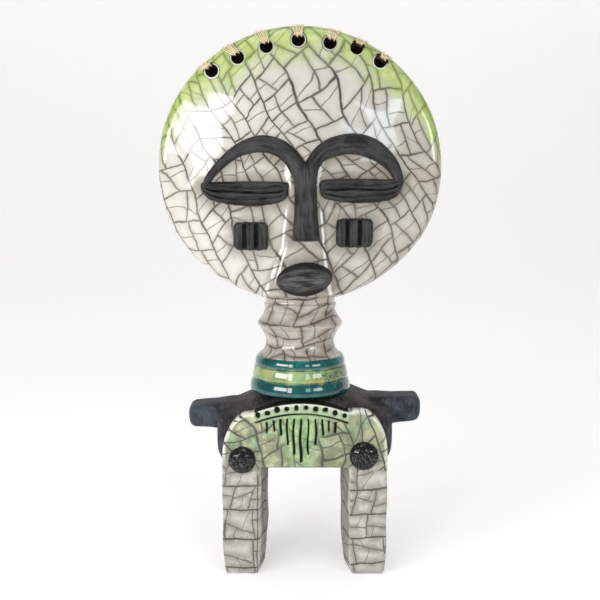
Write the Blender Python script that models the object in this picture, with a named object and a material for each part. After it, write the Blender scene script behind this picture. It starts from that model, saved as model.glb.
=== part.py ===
"""An akuaba-style fertility doll in raku-fired clay, with a raffia tie in each hole of its crown.

Metres, +Z up. The doll faces -Y and stands on its two feet at z = 0. Heights are stacked from the feet
upwards, and depths are measured from the neck's axis, a little behind the middle of the doll's depth.
"""

from math import cos, pi, radians, sin, sqrt

import bmesh
import bpy
from mathutils import Vector

# Legs
LEG_LENGTH = 0.0603
LEG_WIDTH = 0.0237
LEG_GAP = 0.0430
LEG_DEPTH = 0.0480
LEG_CHAMFER_WIDTH = 0.0034
LEG_CHAMFER_DEPTH = 0.0180
LEG_EDGE = 0.0012
LEG_SETBACK = 0.0006
FOOT_ROUNDING = 0.0016

# Torso and arms
TORSO_WIDTH = 0.0980
TORSO_HEIGHT = 0.0383
TORSO_FRONT = 0.0245
TORSO_BACK = 0.0270
TORSO_EDGE = 0.0040
TORSO_OVERHANG = 0.0016
SHOULDER_SLOPE = 0.0050
BODY_TILT = radians(1.6)
ARM_SPAN = 0.1316
ARM_DEPTH = 0.0200
ARM_ROOT_HEIGHT = 0.0185
ARM_TIP_HEIGHT = 0.0130
ARM_RISE = 0.0253

# Apron, with its dotted band and its fan of grooves
APRON_THICKNESS = 0.0065
APRON_HEIGHT = 0.0315
APRON_CORNER_WIDTH = 0.0150
APRON_CORNER_HEIGHT = 0.0240
APRON_BAND_RISE = 0.0050
APRON_EDGE = 0.0012
BAND_LENGTH = 0.0520
BAND_OFFSET = 0.0007
BAND_HEIGHT = 0.0056
BAND_PROUD = 0.0007
BAND_SAG = 0.0052
DOT_COUNT = 10
DOT_DIAMETER = 0.0021
DOT_DEPTH = 0.0016
GROOVE_WIDTH = 0.0013
GROOVE_DEPTH = 0.0011
FAN_GROOVES = 11
FAN_WIDTH = 0.0379
FAN_MARGIN = 0.0022

# Knobs at the hips
KNOB_DIAMETER = 0.0152
KNOB_PROUD = 0.0045
KNOB_SPACING = 0.0664
KNOB_RISE = 0.0060
KNOB_OFFSET = 0.0015

# Collar of three rings, and the neck with its flared ring
COLLAR_RING_HEIGHTS = (0.0060, 0.0064, 0.0079)
COLLAR_RADIUS_BOTTOM = 0.0286
COLLAR_RADIUS_TOP = 0.0250
COLLAR_CREASE = 0.0012
NECK_RADIUS = 0.0193
NECK_LENGTH = 0.0297
NECK_RING_RADIUS = 0.0245
NECK_RING_HEIGHT = 0.0210
NECK_RING_DROP = 0.0119

# Head
HEAD_RADIUS = 0.0781
CHIN_FLATTENING = 0.0032
CROWN_FLATTENING = 0.0017
HEAD_RIM = 0.0105
HEAD_RIM_ROUNDING = 0.0050
FRONT_DOME = 0.0080
BACK_DOME = 0.0060
HEAD_FORWARD = 0.0040
BODY_OFFSET = 0.0026

# Black relief on the face
BROW_PROUD = 0.0030
EYE_PROUD = 0.0022
CHEEK_PROUD = 0.0022
MOUTH_PROUD = 0.0034
RIDGE_PROUD = 0.0024

# Crown holes, each with its angle from the top (clockwise from the front) and its distance in from the rim
HOLE_DIAMETER = 0.0065
CROWN_HOLES = (
    (-42.7, 0.0066),
    (-29.8, 0.0089),
    (-15.7, 0.0094),
    (-0.8, 0.0083),
    (13.7, 0.0080),
    (25.6, 0.0057),
    (37.4, 0.0054),
)

# Raffia ties
TIE_GAP = 0.0003
TIE_THICKNESS_IN_HOLE = 0.0022
TIE_THICKNESS_OUTSIDE = 0.0008
TIE_WIDTH_IN_HOLE = 0.0040
TIE_WIDTH_OUTSIDE = 0.0062

# How deep the joined shapes reach into one another, so that they fuse
EMBED = 0.0030

# Heights and depths that follow from the sizes above
HIP = LEG_LENGTH
SHOULDER = HIP + TORSO_HEIGHT
COLLAR_TOP = SHOULDER + sum(COLLAR_RING_HEIGHTS)
CHIN = COLLAR_TOP + NECK_LENGTH
HEAD_CENTRE = CHIN + HEAD_RADIUS - CHIN_FLATTENING
APRON_FRONT = TORSO_FRONT + APRON_THICKNESS
NECK_AXIS_Y = (APRON_FRONT + KNOB_PROUD - max(TORSO_BACK, COLLAR_RADIUS_BOTTOM)) / 2
HEAD_Y = NECK_AXIS_Y - HEAD_FORWARD
APRON_Y = NECK_AXIS_Y - APRON_FRONT


def smoothstep(low, high, value):
    """Rises smoothly from 0 at low to 1 at high."""
    t = min(1, max(0, (value - low) / (high - low)))
    return t * t * (3 - 2 * t)


def clear_scene():
    for thing in list(bpy.data.objects):
        bpy.data.objects.remove(thing, do_unlink=True)


def clay_material(name, colour, roughness):
    material = bpy.data.materials.new(name)
    material.use_nodes = True
    shader = material.node_tree.nodes["Principled BSDF"]
    shader.inputs["Base Color"].default_value = (*colour, 1)
    shader.inputs["Roughness"].default_value = roughness
    shader.inputs["Metallic"].default_value = 0
    return material


def add_object(name, mesh, helper=False):
    """Links a mesh as an object. A helper is joined to the doll or cut from it, and is hidden itself."""
    thing = bpy.data.objects.new(name, mesh)
    bpy.context.scene.collection.objects.link(thing)
    if helper:
        thing.hide_render = True
        thing.display_type = "WIRE"
    return thing


def loft(name, rings, helper=True, closed_loop=False):
    """A closed solid through rings of equal length. Its ends are capped, or meet in a closed loop."""
    bm = bmesh.new()
    rows = [[bm.verts.new(point) for point in ring] for ring in rings]
    count = len(rows[0])
    spans = list(zip(rows, rows[1:]))
    if closed_loop:
        spans.append((rows[-1], rows[0]))
    for lower, upper in spans:
        for i in range(count):
            j = (i + 1) % count
            bm.faces.new((lower[i], lower[j], upper[j], upper[i]))
    if not closed_loop:
        for row in (rows[0], rows[-1]):
            middle = bm.verts.new(sum((v.co for v in row), Vector()) / count)
            for i in range(count):
                bm.faces.new((row[i], row[(i + 1) % count], middle))
    bmesh.ops.triangulate(bm, faces=bm.faces)
    bmesh.ops.recalc_face_normals(bm, faces=bm.faces)
    mesh = bpy.data.meshes.new(name)
    bm.to_mesh(mesh)
    bm.free()
    mesh.shade_smooth()
    mesh.set_sharp_from_angle(angle=radians(35))
    return add_object(name, mesh, helper)


def head_edge(angle):
    """The head's outer radius at an angle from its top: round, a little flattened at chin and crown."""
    chin = CHIN_FLATTENING * smoothstep(0.3, 1.0, -cos(angle))
    crown = CROWN_FLATTENING * smoothstep(0.3, 1.0, cos(angle))
    return HEAD_RADIUS - chin - crown


def rim_depth(distance_in):
    """How far the rounded rim stands from the head's middle plane, at a distance in from the edge."""
    t = 1 - min(1, max(0, distance_in / HEAD_RIM_ROUNDING))
    return HEAD_RIM / 2 * sqrt(1 - t * t)


def head_depth(x, z, dome):
    """How far a side of the head stands from its middle plane: the rim's depth plus a shallow dome."""
    up = z - HEAD_CENTRE
    radius = sqrt(x * x + up * up)
    edge = head_edge(angle_from_top(x, up)) if radius > 0 else HEAD_RADIUS
    share = min(1, radius / edge)
    return rim_depth(edge - radius) + dome * (1 - share * share)


def angle_from_top(x, up):
    """The angle between straight up and a direction on the face, always positive."""
    return Vector((x, up)).angle(Vector((0, 1)))


def ridge_lift(x, z):
    """The swell that runs up from the neck, narrows past the mouth and fades out between the brows."""
    drop = (HEAD_CENTRE - z) / HEAD_RADIUS
    half_width = (0.17 + 0.2 * smoothstep(0.15, 1.0, drop)) * HEAD_RADIUS
    across = min(1, abs(x - BODY_OFFSET) / half_width)
    profile = (1 - across**4) ** 2
    plain = HEAD_FORWARD + head_depth(BODY_OFFSET, z, FRONT_DOME)
    to_neck = max(0, NECK_RADIUS + RIDGE_PROUD / 3 - plain)
    height = RIDGE_PROUD * smoothstep(-0.15, 0.2, drop) * (1 - smoothstep(0.3, 0.8, drop))
    height += to_neck * smoothstep(0.25, 0.8, drop)
    return height * profile


def face_y(x, z, lift=0.0):
    """The y of the face at a place, or of something lifted off it."""
    return HEAD_Y - head_depth(x, z, FRONT_DOME) - ridge_lift(x, z) - lift


def on_face(across, up, lift=0.0):
    """A point on the face, from shares of the head's radius right of and above the features' middle."""
    x = BODY_OFFSET + across * HEAD_RADIUS
    z = HEAD_CENTRE + up * HEAD_RADIUS
    return Vector((x, face_y(x, z, lift), z))


def head():
    """The disc head: rings from the middle of the face, over the rounded rim, to the middle of the back."""
    sides = 60
    angles = [2 * pi * i / sides for i in range(sides)]
    rim_steps = [sin(pi / 2 * k / 3) for k in range(4)]
    rings = []
    for share in (0.12, 0.36, 0.58, 0.78):
        rings.append([head_point(a, share * head_edge(a), -1) for a in angles])
    for step in rim_steps:
        rings.append([head_point(a, head_edge(a) - HEAD_RIM_ROUNDING * (1 - step), -1) for a in angles])
    for step in reversed(rim_steps[:-1]):
        rings.append([head_point(a, head_edge(a) - HEAD_RIM_ROUNDING * (1 - step), 1) for a in angles])
    for share in (0.66, 0.2):
        rings.append([head_point(a, share * head_edge(a), 1) for a in angles])
    return loft("doll", rings, helper=False)


def head_point(angle, radius, side):
    """A point of the head's skin at an angle from the top, on the face (side -1) or the back (side 1)."""
    x = radius * sin(angle)
    z = HEAD_CENTRE + radius * cos(angle)
    if side < 0:
        fade = smoothstep(0, HEAD_RIM_ROUNDING, head_edge(angle) - radius)
        return Vector((x, HEAD_Y - head_depth(x, z, FRONT_DOME) - ridge_lift(x, z) * fade, z))
    return Vector((x, HEAD_Y + head_depth(x, z, BACK_DOME), z))


def curve_points(stops, count):
    """Evenly numbered points on a smooth curve through a few stops, each a tuple of numbers."""
    points = []
    last = len(stops) - 1
    for k in range(count):
        place = last * k / (count - 1)
        i = min(int(place), last - 1)
        t = place - i
        p, q, r, s = (Vector(stops[min(max(j, 0), last)]) for j in (i - 1, i, i + 1, i + 2))
        bend = 2 * p - 5 * q + 4 * r - s
        twist = 3 * q - p - 3 * r + s
        points.append(tuple((2 * q + (r - p) * t + bend * t**2 + twist * t**3) / 2))
    return points


def band_on_face(name, stops, count, proud):
    """A raised band with a rounded top that follows the face.

    A stop is (across, up, half width) in head radii.
    """
    low = 0.45 * proud
    high = 0.92 * proud
    section = ((-1, -EMBED), (-1, low), (-0.6, high), (0.6, high), (1, low), (1, -EMBED))
    stations = curve_points(stops, count)
    rings = []
    for k, (across, up, half) in enumerate(stations):
        before = stations[max(k - 1, 0)]
        after = stations[min(k + 1, count - 1)]
        along = Vector((after[0] - before[0], after[1] - before[1])).normalized()
        ring = []
        for share, lift in section:
            ring.append(on_face(across + share * half * along.y, up - share * half * along.x, lift))
        rings.append(ring)
    return loft(name, rings)


def ribbed_patch(name, middle, half_size, ribs, proud, lengthwise, roundness):
    """A raised patch on the face, its outline a rounded oblong, with ribs parted by grooves.

    lengthwise ribs run across the face, the others up and down. A low roundness gives a pointed oval.
    """
    columns = 3 * ribs + 1 if ribs > 1 else 7
    rows = 6 if ribs > 1 else 10
    rings = []
    for k in range(rows + 1):
        t = sin(pi / 2 * (-1 + 2 * k / rows))
        breadth = max((1 - abs(t) ** roundness) ** (1 / roundness), 0.25 if roundness > 2 else 0.05)
        top = []
        for c in range(columns):
            s = -1 + 2 * c / (columns - 1)
            groove = 0.5 - 0.5 * cos(2 * pi * ribs * (s + 1) / 2)
            edge = (1 - smoothstep(0.75, 1.0, abs(s))) * (1 - smoothstep(0.85, 1.0, abs(t)))
            dome = sqrt(max(0, 1 - s * s)) * (1 - t * t)
            lift = proud * (0.4 + 0.6 * (groove * edge if ribs > 1 else dome))
            across, up = (t, s * breadth) if lengthwise else (s * breadth, t)
            top.append((across * half_size[0], up * half_size[1], lift))
        ring = [on_face(middle[0] + a, middle[1] + u, lift) for a, u, lift in top]
        for a, u, _ in (top[-1], top[0]):
            ring.append(on_face(middle[0] + a, middle[1] + u, -EMBED))
        rings.append(ring)
    return loft(name, rings)


def face_relief():
    """Brows that run down into one nose, closed eyes, cheek marks and a mouth, in head radii."""
    left_brow = (
        (-0.700, -0.150, 0.026),
        (-0.640, 0.005, 0.036),
        (-0.500, 0.112, 0.046),
        (-0.310, 0.160, 0.056),
        (-0.140, 0.110, 0.062),
        (-0.050, -0.005, 0.062),
        (-0.012, -0.180, 0.060),
    )
    right_brow = (
        (0.672, -0.175, 0.026),
        (0.655, -0.020, 0.040),
        (0.520, 0.115, 0.052),
        (0.320, 0.162, 0.062),
        (0.160, 0.112, 0.062),
        (0.060, -0.005, 0.060),
        (0.016, -0.180, 0.060),
    )
    nose = (
        (0.006, -0.010, 0.030),
        (0.006, -0.100, 0.074),
        (0.008, -0.320, 0.078),
        (0.010, -0.500, 0.094),
    )
    return [
        band_on_face("brow_left", left_brow, 14, BROW_PROUD),
        band_on_face("brow_right", right_brow, 14, BROW_PROUD),
        band_on_face("nose", nose, 5, BROW_PROUD * 1.25),
        ribbed_patch("eye_left", (-0.412, -0.189), (0.300, 0.086), 4, EYE_PROUD, True, 4),
        ribbed_patch("eye_right", (0.389, -0.167), (0.280, 0.089), 4, EYE_PROUD, True, 4),
        ribbed_patch("cheek_left", (-0.377, -0.480), (0.118, 0.098), 3, CHEEK_PROUD, False, 7),
        ribbed_patch("cheek_right", (0.348, -0.460), (0.127, 0.100), 3, CHEEK_PROUD, False, 7),
        ribbed_patch("mouth", (-0.002, -0.776), (0.196, 0.120), 1, MOUTH_PROUD, True, 1.7),
    ]


def turned(name, profile, sides):
    """A solid turned about the neck's axis, from the bottom up.

    A stop is (radius, height, share of depth). Below a share of 1 the back is pared away.
    """
    turns = [2 * pi * i / sides for i in range(sides)]
    rings = []
    for radius, height, share in profile:
        middle = NECK_AXIS_Y - radius * (1 - share)
        rings.append([Vector((radius * sin(a), middle - radius * share * cos(a), height)) for a in turns])
    return loft(name, rings)


def neck_and_collar():
    """Three rounded collar rings that narrow upwards, a waisted neck, and a sharp ring under the chin."""
    profile = [(COLLAR_RADIUS_BOTTOM - COLLAR_CREASE, SHOULDER - TORSO_HEIGHT / 4, 1)]
    base = SHOULDER
    for height in reversed(COLLAR_RING_HEIGHTS):
        share = (base + height / 2 - SHOULDER) / (COLLAR_TOP - SHOULDER)
        crest = COLLAR_RADIUS_BOTTOM + (COLLAR_RADIUS_TOP - COLLAR_RADIUS_BOTTOM) * share
        for t in (0, 0.18, 0.5, 0.82):
            bulge = sqrt(1 - (2 * t - 1) ** 2)
            profile.append((crest - COLLAR_CREASE * (1 - bulge), base + t * height, 1))
        base += height
    profile.append((COLLAR_RADIUS_TOP - 2.5 * COLLAR_CREASE, COLLAR_TOP, 1))
    profile.append((NECK_RADIUS + 0.5 * COLLAR_CREASE, COLLAR_TOP + 0.08 * NECK_LENGTH, 1))
    profile.append((NECK_RADIUS, COLLAR_TOP + 0.26 * NECK_LENGTH, 1))
    crest = CHIN - NECK_RING_DROP
    flare = NECK_RING_RADIUS - NECK_RADIUS
    for t in (-0.7, -0.3, -0.05, 0.05, 0.3, 0.7):
        radius = NECK_RADIUS + flare * (1 - abs(t)) ** 1.6
        profile.append((radius, crest + t * NECK_RING_HEIGHT / 2, 1 - 0.1 * smoothstep(0.1, 0.9, t)))
    profile.append((NECK_RADIUS, CHIN + 0.06 * HEAD_RADIUS, 0.82))
    profile.append((0.92 * NECK_RADIUS, CHIN + 0.16 * HEAD_RADIUS, 0.68))
    profile.append((0.7 * NECK_RADIUS, CHIN + 0.3 * HEAD_RADIUS, 0.56))
    return turned("neck_and_collar", profile, 26)


def tilted(x):
    """How far the torso's top, the arms and the knobs rise at a place, as they stand slightly askew."""
    return (x - BODY_OFFSET) * sin(BODY_TILT)


def torso():
    """The smoked torso: a block with well rounded corners, whose shoulders slope up to the collar."""
    half = TORSO_WIDTH / 2
    middle = NECK_AXIS_Y + (TORSO_BACK - TORSO_FRONT) / 2
    depth = (TORSO_FRONT + TORSO_BACK) / 2
    eave = SHOULDER - SHOULDER_SLOPE
    stops = [
        (HIP - TORSO_OVERHANG, half - 0.75 * TORSO_EDGE, depth - TORSO_EDGE),
        (HIP - TORSO_OVERHANG + 0.6 * TORSO_EDGE, half - 0.3 * TORSO_EDGE, depth - 0.3 * TORSO_EDGE),
        (HIP - TORSO_OVERHANG + 2 * TORSO_EDGE, half, depth),
        (eave - 1.2 * TORSO_EDGE, half, depth),
        (eave - 0.3 * TORSO_EDGE, half - 0.6 * TORSO_EDGE, depth - 0.4 * TORSO_EDGE),
        (eave + 0.2 * SHOULDER_SLOPE, half - 1.9 * TORSO_EDGE, depth - 1.4 * TORSO_EDGE),
        (SHOULDER - 0.2 * SHOULDER_SLOPE, COLLAR_RADIUS_BOTTOM, 0.8 * COLLAR_RADIUS_BOTTOM),
        (SHOULDER + 0.0005, 0.75 * COLLAR_RADIUS_BOTTOM, 0.6 * COLLAR_RADIUS_BOTTOM),
    ]
    sides = 28
    rings = []
    for height, half_width, half_depth in stops:
        ring = []
        for i in range(sides):
            a = 2 * pi * (i + 0.5) / sides
            x = BODY_OFFSET + half_width * squared(cos(a), 0.55)
            share = min(1, max(0, (height - HIP) / TORSO_HEIGHT))
            y = middle + half_depth * squared(sin(a), 0.55)
            ring.append(Vector((x, y, height + share * tilted(x))))
        rings.append(ring)
    return loft("torso", rings)


def squared(value, power):
    """A sine or cosine pushed outwards, which turns a circle into a rounded square."""
    return abs(value) ** power * (1 if value > 0 else -1)


def arms():
    """Two blunt stub arms in one bar through the torso, tapering to rounded tips."""
    middle = HIP + ARM_RISE
    half_span = ARM_SPAN / 2
    rings = []
    tip = ((0.6, 1), (0.95, 1), (0.985, 0.8), (1, 0.5))
    for share, size in [(-share, size) for share, size in reversed(tip)] + list(tip):
        reach = (abs(share) - 0.6) / 0.4
        height = size * (ARM_ROOT_HEIGHT + (ARM_TIP_HEIGHT - ARM_ROOT_HEIGHT) * reach)
        depth = size * ARM_DEPTH
        lift = 0.0012 * reach
        ring = []
        for i in range(16):
            a = 2 * pi * (i + 0.5) / 16
            x = BODY_OFFSET + share * half_span
            z = middle + lift + tilted(x) + height / 2 * squared(sin(a), 0.6)
            ring.append(Vector((x, NECK_AXIS_Y + depth / 2 * squared(cos(a), 0.6), z)))
        rings.append(ring)
    return loft("arms", rings)


def band_height(x):
    """The height of the dotted band's middle line, an arc across the top of the apron."""
    share = (x - BAND_OFFSET) / (BAND_LENGTH / 2)
    return HIP + APRON_HEIGHT + APRON_BAND_RISE - BAND_HEIGHT / 2 - BAND_SAG * share * share


def apron_edge(x):
    """The height of the apron's top edge: round shoulders, and the arch of the band between them."""
    from_side = LEG_GAP / 2 + LEG_WIDTH - abs(x - BODY_OFFSET)
    share = 1 - min(1, max(0, from_side / APRON_CORNER_WIDTH))
    edge = HIP + APRON_HEIGHT + tilted(x) - APRON_CORNER_HEIGHT * (1 - sqrt(1 - share * share))
    if abs(x - BAND_OFFSET) <= BAND_LENGTH / 2:
        edge = max(edge, band_height(x) + BAND_HEIGHT / 2)
    return max(edge, HIP)


def apron():
    """The glazed slab in front of the torso: one closed outline, with its front edge eased."""
    half = LEG_GAP / 2 + LEG_WIDTH
    columns = 28
    places = [BODY_OFFSET - half * cos(pi * k / columns) for k in range(columns + 1)]
    outline = [(x, apron_edge(x)) for x in places]
    outline.append((BODY_OFFSET + half, HIP - LEG_EDGE))
    outline.append((BODY_OFFSET - half, HIP - LEG_EDGE))
    rings = []
    back = APRON_Y + APRON_THICKNESS + EMBED
    for y, inset in ((APRON_Y, APRON_EDGE), (APRON_Y + APRON_EDGE, 0), (back, 0)):
        low = HIP - LEG_EDGE + inset
        x_share = 1 - inset / half
        ring = []
        for x, z in outline:
            ring.append(Vector((BODY_OFFSET + (x - BODY_OFFSET) * x_share, y, max(low, z - inset))))
        rings.append(ring)
    return loft("apron", rings)


def leg(name, side):
    """A square leg. Its inner front edge has a wide chamfer, and its foot's edges are eased."""
    outer = side * (LEG_GAP / 2 + LEG_WIDTH)
    inner = side * LEG_GAP / 2
    front = APRON_Y + LEG_SETBACK
    back = APRON_Y + LEG_DEPTH
    cut = inner + side * LEG_CHAMFER_WIDTH
    edge = LEG_EDGE
    section = [
        (outer - side * edge, front),
        (cut + side * edge, front),
        (cut - side * edge / 3, front + edge),
        (inner, front + LEG_CHAMFER_DEPTH),
        (inner, back - 2 * edge),
        (inner + side * 2 * edge, back),
        (outer - side * 2 * edge, back),
        (outer, back - 2 * edge),
        (outer, front + edge),
    ]
    middle = Vector(((outer + inner) / 2, (front + back) / 2))
    rings = []
    for height, inset in ((0, 1), (0.4, 0.35), (1, 0), ((HIP + EMBED) / FOOT_ROUNDING, 0)):
        ring = []
        for x, y in section:
            towards = (middle - Vector((x, y))).normalized() * inset * FOOT_ROUNDING
            ring.append(Vector((BODY_OFFSET + x + towards.x, y + towards.y, height * FOOT_ROUNDING)))
        rings.append(ring)
    return loft(name, rings)


def knob(name, side):
    """A domed knob on the apron, in front of a hip."""
    x = KNOB_OFFSET + side * KNOB_SPACING / 2
    z = HIP + KNOB_RISE + tilted(x)
    sides = 16
    rings = []
    for radius, proud in ((1, -0.5), (1, 0.25), (0.93, 0.55), (0.75, 0.8), (0.42, 0.96), (0.1, 1)):
        ring = []
        for i in range(sides):
            a = 2 * pi * i / sides
            r = radius * KNOB_DIAMETER / 2
            ring.append(Vector((x + r * sin(a), APRON_Y - proud * KNOB_PROUD, z + r * cos(a))))
        rings.append(ring)
    return loft(name, rings)


def dotted_band():
    """The raised band along the apron's top edge."""
    steps = 12
    ease = BAND_PROUD / 2
    rings = []
    for k in range(steps + 1):
        x = BAND_OFFSET + 0.99 * BAND_LENGTH / 2 * (-1 + 2 * k / steps)
        middle = band_height(x)
        half = BAND_HEIGHT / 2 * (0.97 if 0 < k < steps else 0.6)
        section = (
            (EMBED, -half),
            (ease - BAND_PROUD, -half),
            (-BAND_PROUD, ease - half),
            (-BAND_PROUD, half - ease),
            (ease - BAND_PROUD, half),
            (EMBED, half),
        )
        rings.append([Vector((x, APRON_Y + y, middle + z)) for y, z in section])
    return loft("dotted_band", rings)


def band_dots():
    """A row of punched dots along the band."""
    cutters = []
    sides = 6
    radius = DOT_DIAMETER / 2
    surface = APRON_Y - BAND_PROUD
    for k in range(DOT_COUNT):
        x = BAND_OFFSET + (BAND_LENGTH - 2 * DOT_DIAMETER) * (-0.5 + k / (DOT_COUNT - 1))
        rings = []
        for y in (surface - DOT_DEPTH, surface + DOT_DEPTH):
            ring = []
            for i in range(sides):
                a = 2 * pi * i / sides
                ring.append(Vector((x + radius * sin(a), y, band_height(x) + radius * cos(a))))
            rings.append(ring)
        cutters.append(loft(f"dot_{k + 1}", rings))
    return cutters


def arc_height(x):
    """The height of the groove that runs under the band."""
    return band_height(x) - BAND_HEIGHT / 2 - GROOVE_WIDTH / 2


def groove(name, stations):
    """A V-shaped groove in the apron's front. A station is (x, z, share of size, level or upright)."""
    rings = []
    for x, z, size, level in stations:
        out = size * (GROOVE_WIDTH / 2) * (1 + 1 / 2)
        sideways = (0, out) if level else (out, 0)
        low = Vector((x - sideways[0], APRON_Y - GROOVE_DEPTH / 2, z - sideways[1]))
        high = Vector((x + sideways[0], APRON_Y - GROOVE_DEPTH / 2, z + sideways[1]))
        rings.append([low, Vector((x, APRON_Y + size * GROOVE_DEPTH, z)), high])
    return loft(name, rings)


def fan_grooves():
    """The arc groove under the band, and the upright grooves that hang from it in a downward point."""
    steps = 12
    places = [BAND_OFFSET + BAND_LENGTH / 2 * (-1 + 2 * k / steps) for k in range(steps + 1)]
    cutters = [groove("arc_groove", [(x, arc_height(x), 1, True) for x in places])]
    for k in range(FAN_GROOVES):
        share = -1 + 2 * k / (FAN_GROOVES - 1)
        x = BAND_OFFSET + share * FAN_WIDTH / 2
        top = arc_height(x) - FAN_MARGIN
        lowest = HIP + FAN_MARGIN
        bottom = lowest + (top - lowest) * 0.7 * min(1, 1.45 * abs(share)) ** 1.15
        length = top - bottom
        stations = [(x, bottom, 0.3, False), (x, bottom + 0.15 * length, 1, False)]
        stations += [(x, top - 0.1 * length, 1, False), (x, top, 0.4, False)]
        cutters.append(groove(f"fan_groove_{k + 1}", stations))
    return cutters


def hole_middle(angle, inset):
    """The radius, from the head's middle, of a crown hole's middle."""
    return head_edge(radians(angle)) - inset


def crown_hole(index, angle, inset):
    """A round hole through the head, straight from front to back."""
    turn = radians(angle)
    radius = hole_middle(angle, inset)
    x = radius * sin(turn)
    z = HEAD_CENTRE + radius * cos(turn)
    reach = HEAD_RIM + FRONT_DOME + BACK_DOME
    rings = []
    for y in (HEAD_Y - reach, HEAD_Y + reach):
        ring = []
        for i in range(16):
            a = 2 * pi * i / 16
            ring.append(Vector((x + HOLE_DIAMETER / 2 * sin(a), y, z + HOLE_DIAMETER / 2 * cos(a))))
        rings.append(ring)
    return loft(f"crown_hole_{index}", rings)


def raffia_tie(index, angle, inset):
    """A flat bundle of raffia, looped through a crown hole and round the rim beside it.

    The loop is worked out in the plane through the hole: out from the head's middle, and front to back.
    """
    turn = radians(angle)
    outer_wall = hole_middle(angle, inset) + HOLE_DIAMETER / 2
    edge = head_edge(turn)
    inside = outer_wall - TIE_GAP - 0.0001 - TIE_THICKNESS_IN_HOLE / 2

    def skin(out, side):
        dome = FRONT_DOME if side < 0 else BACK_DOME
        return side * head_depth(out * sin(turn), HEAD_CENTRE + out * cos(turn), dome)

    def offset(out, side, thickness):
        """A point that clears the head's skin by the gap and half the bundle's thickness."""
        step = 0.00005
        slope = (skin(out, side) - skin(out - step, side)) / step
        normal = Vector((-slope * side, 1)).normalized()
        clear = TIE_GAP + thickness / 2
        return (out + normal.x * clear, skin(out, side) + side * normal.y * clear)

    thin = TIE_THICKNESS_OUTSIDE
    thick = TIE_THICKNESS_IN_HOLE
    wide = TIE_WIDTH_OUTSIDE
    mid = (thin + thick) / 2
    clear = TIE_GAP + mid / 2
    halves = []
    for side in (-1, 1):
        lip = skin(outer_wall, side)
        half_loop = [
            (inside, side * HEAD_RIM / 3, thick, TIE_WIDTH_IN_HOLE),
            (inside, lip, thick, TIE_WIDTH_IN_HOLE),
            (outer_wall - 0.75 * clear, lip + side * 0.75 * clear, mid, TIE_WIDTH_IN_HOLE),
        ]
        for share in (0.08, 0.5, 0.85):
            out = outer_wall + (edge - outer_wall) * share
            spread = TIE_WIDTH_IN_HOLE + (wide - TIE_WIDTH_IN_HOLE) * min(1, 0.4 + share)
            half_loop.append((*offset(out, side, thin), thin, spread))
        halves.append(half_loop)
    crest = (edge + TIE_GAP + thin / 2, 0.0, thin, wide)
    loop = halves[0] + [crest] + list(reversed(halves[1]))
    count = len(loop)
    sides = 6
    rings = []
    for k in range(count):
        out, depth, thickness, width = loop[k]
        before = Vector(loop[k - 1][:2])
        after = Vector(loop[(k + 1) % count][:2])
        along = (after - before).normalized()
        across = Vector((along.y, -along.x))
        ring = []
        for i in range(sides):
            a = 2 * pi * i / sides
            o = out + across.x * thickness / 2 * sin(a)
            y = depth + across.y * thickness / 2 * sin(a)
            sideways = width / 2 * cos(a)
            x = o * sin(turn) + sideways * cos(turn)
            z = HEAD_CENTRE + o * cos(turn) - sideways * sin(turn)
            ring.append(Vector((x, HEAD_Y + y, z)))
        rings.append(ring)
    return loft(f"raffia_tie_{index}", rings, helper=False, closed_loop=True)


def boolean(target, name, operation, operands):
    """Joins or cuts a group of helpers as one Boolean."""
    group = bpy.data.collections.new(name)
    for thing in operands:
        group.objects.link(thing)
    modifier = target.modifiers.new(name, "BOOLEAN")
    modifier.operation = operation
    modifier.solver = "EXACT"
    modifier.operand_type = "COLLECTION"
    modifier.collection = group
    modifier.use_self = False


def main():
    clear_scene()
    raku_clay = clay_material("raku_clay", (0.62, 0.58, 0.50), 0.25)
    raffia = clay_material("raffia", (0.72, 0.52, 0.32), 0.75)

    doll = head()
    added = [neck_and_collar(), torso(), arms(), apron(), dotted_band()]
    added += [leg("leg_left", -1), leg("leg_right", 1)]
    added += [knob("knob_left", -1), knob("knob_right", 1)]
    added += face_relief()
    cut = band_dots() + fan_grooves()
    cut += [crown_hole(k + 1, angle, inset) for k, (angle, inset) in enumerate(CROWN_HOLES)]
    boolean(doll, "clay_added", "UNION", added)
    boolean(doll, "clay_cut", "DIFFERENCE", cut)
    doll.data.materials.append(raku_clay)

    for k, (angle, inset) in enumerate(CROWN_HOLES):
        tie = raffia_tie(k + 1, angle, inset)
        tie.data.materials.append(raffia)


main()
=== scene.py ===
# %% [markdown]
# # A raku-fired akuaba doll
#
# An akuaba is a small Ashanti figure with a flat round head. This one is hand-built in clay and raku fired: the pale
# glaze is full of fine cracks that smoke has blackened, the parts without glaze came out matt black, and raffia is
# threaded through seven holes at the crown. The lesson dresses a packed model: its solids stay as a frame, and each
# visible surface is made again here, finer, with its own finish.

from math import cos, pi, radians, sin

import bmesh
import bpy
import numpy as np
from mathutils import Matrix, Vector


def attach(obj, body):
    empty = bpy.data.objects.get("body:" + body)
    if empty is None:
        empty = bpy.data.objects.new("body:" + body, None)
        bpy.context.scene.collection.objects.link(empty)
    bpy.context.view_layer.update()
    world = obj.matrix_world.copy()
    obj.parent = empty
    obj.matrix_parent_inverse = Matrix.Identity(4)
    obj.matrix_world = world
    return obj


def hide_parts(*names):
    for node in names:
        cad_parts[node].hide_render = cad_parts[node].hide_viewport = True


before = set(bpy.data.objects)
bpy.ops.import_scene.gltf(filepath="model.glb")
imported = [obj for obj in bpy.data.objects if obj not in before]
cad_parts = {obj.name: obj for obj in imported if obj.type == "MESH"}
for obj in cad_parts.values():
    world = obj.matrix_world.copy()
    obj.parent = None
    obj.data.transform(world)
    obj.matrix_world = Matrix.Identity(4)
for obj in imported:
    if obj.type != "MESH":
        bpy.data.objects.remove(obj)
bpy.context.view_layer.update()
print("solids:", ", ".join(sorted(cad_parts)))

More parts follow.
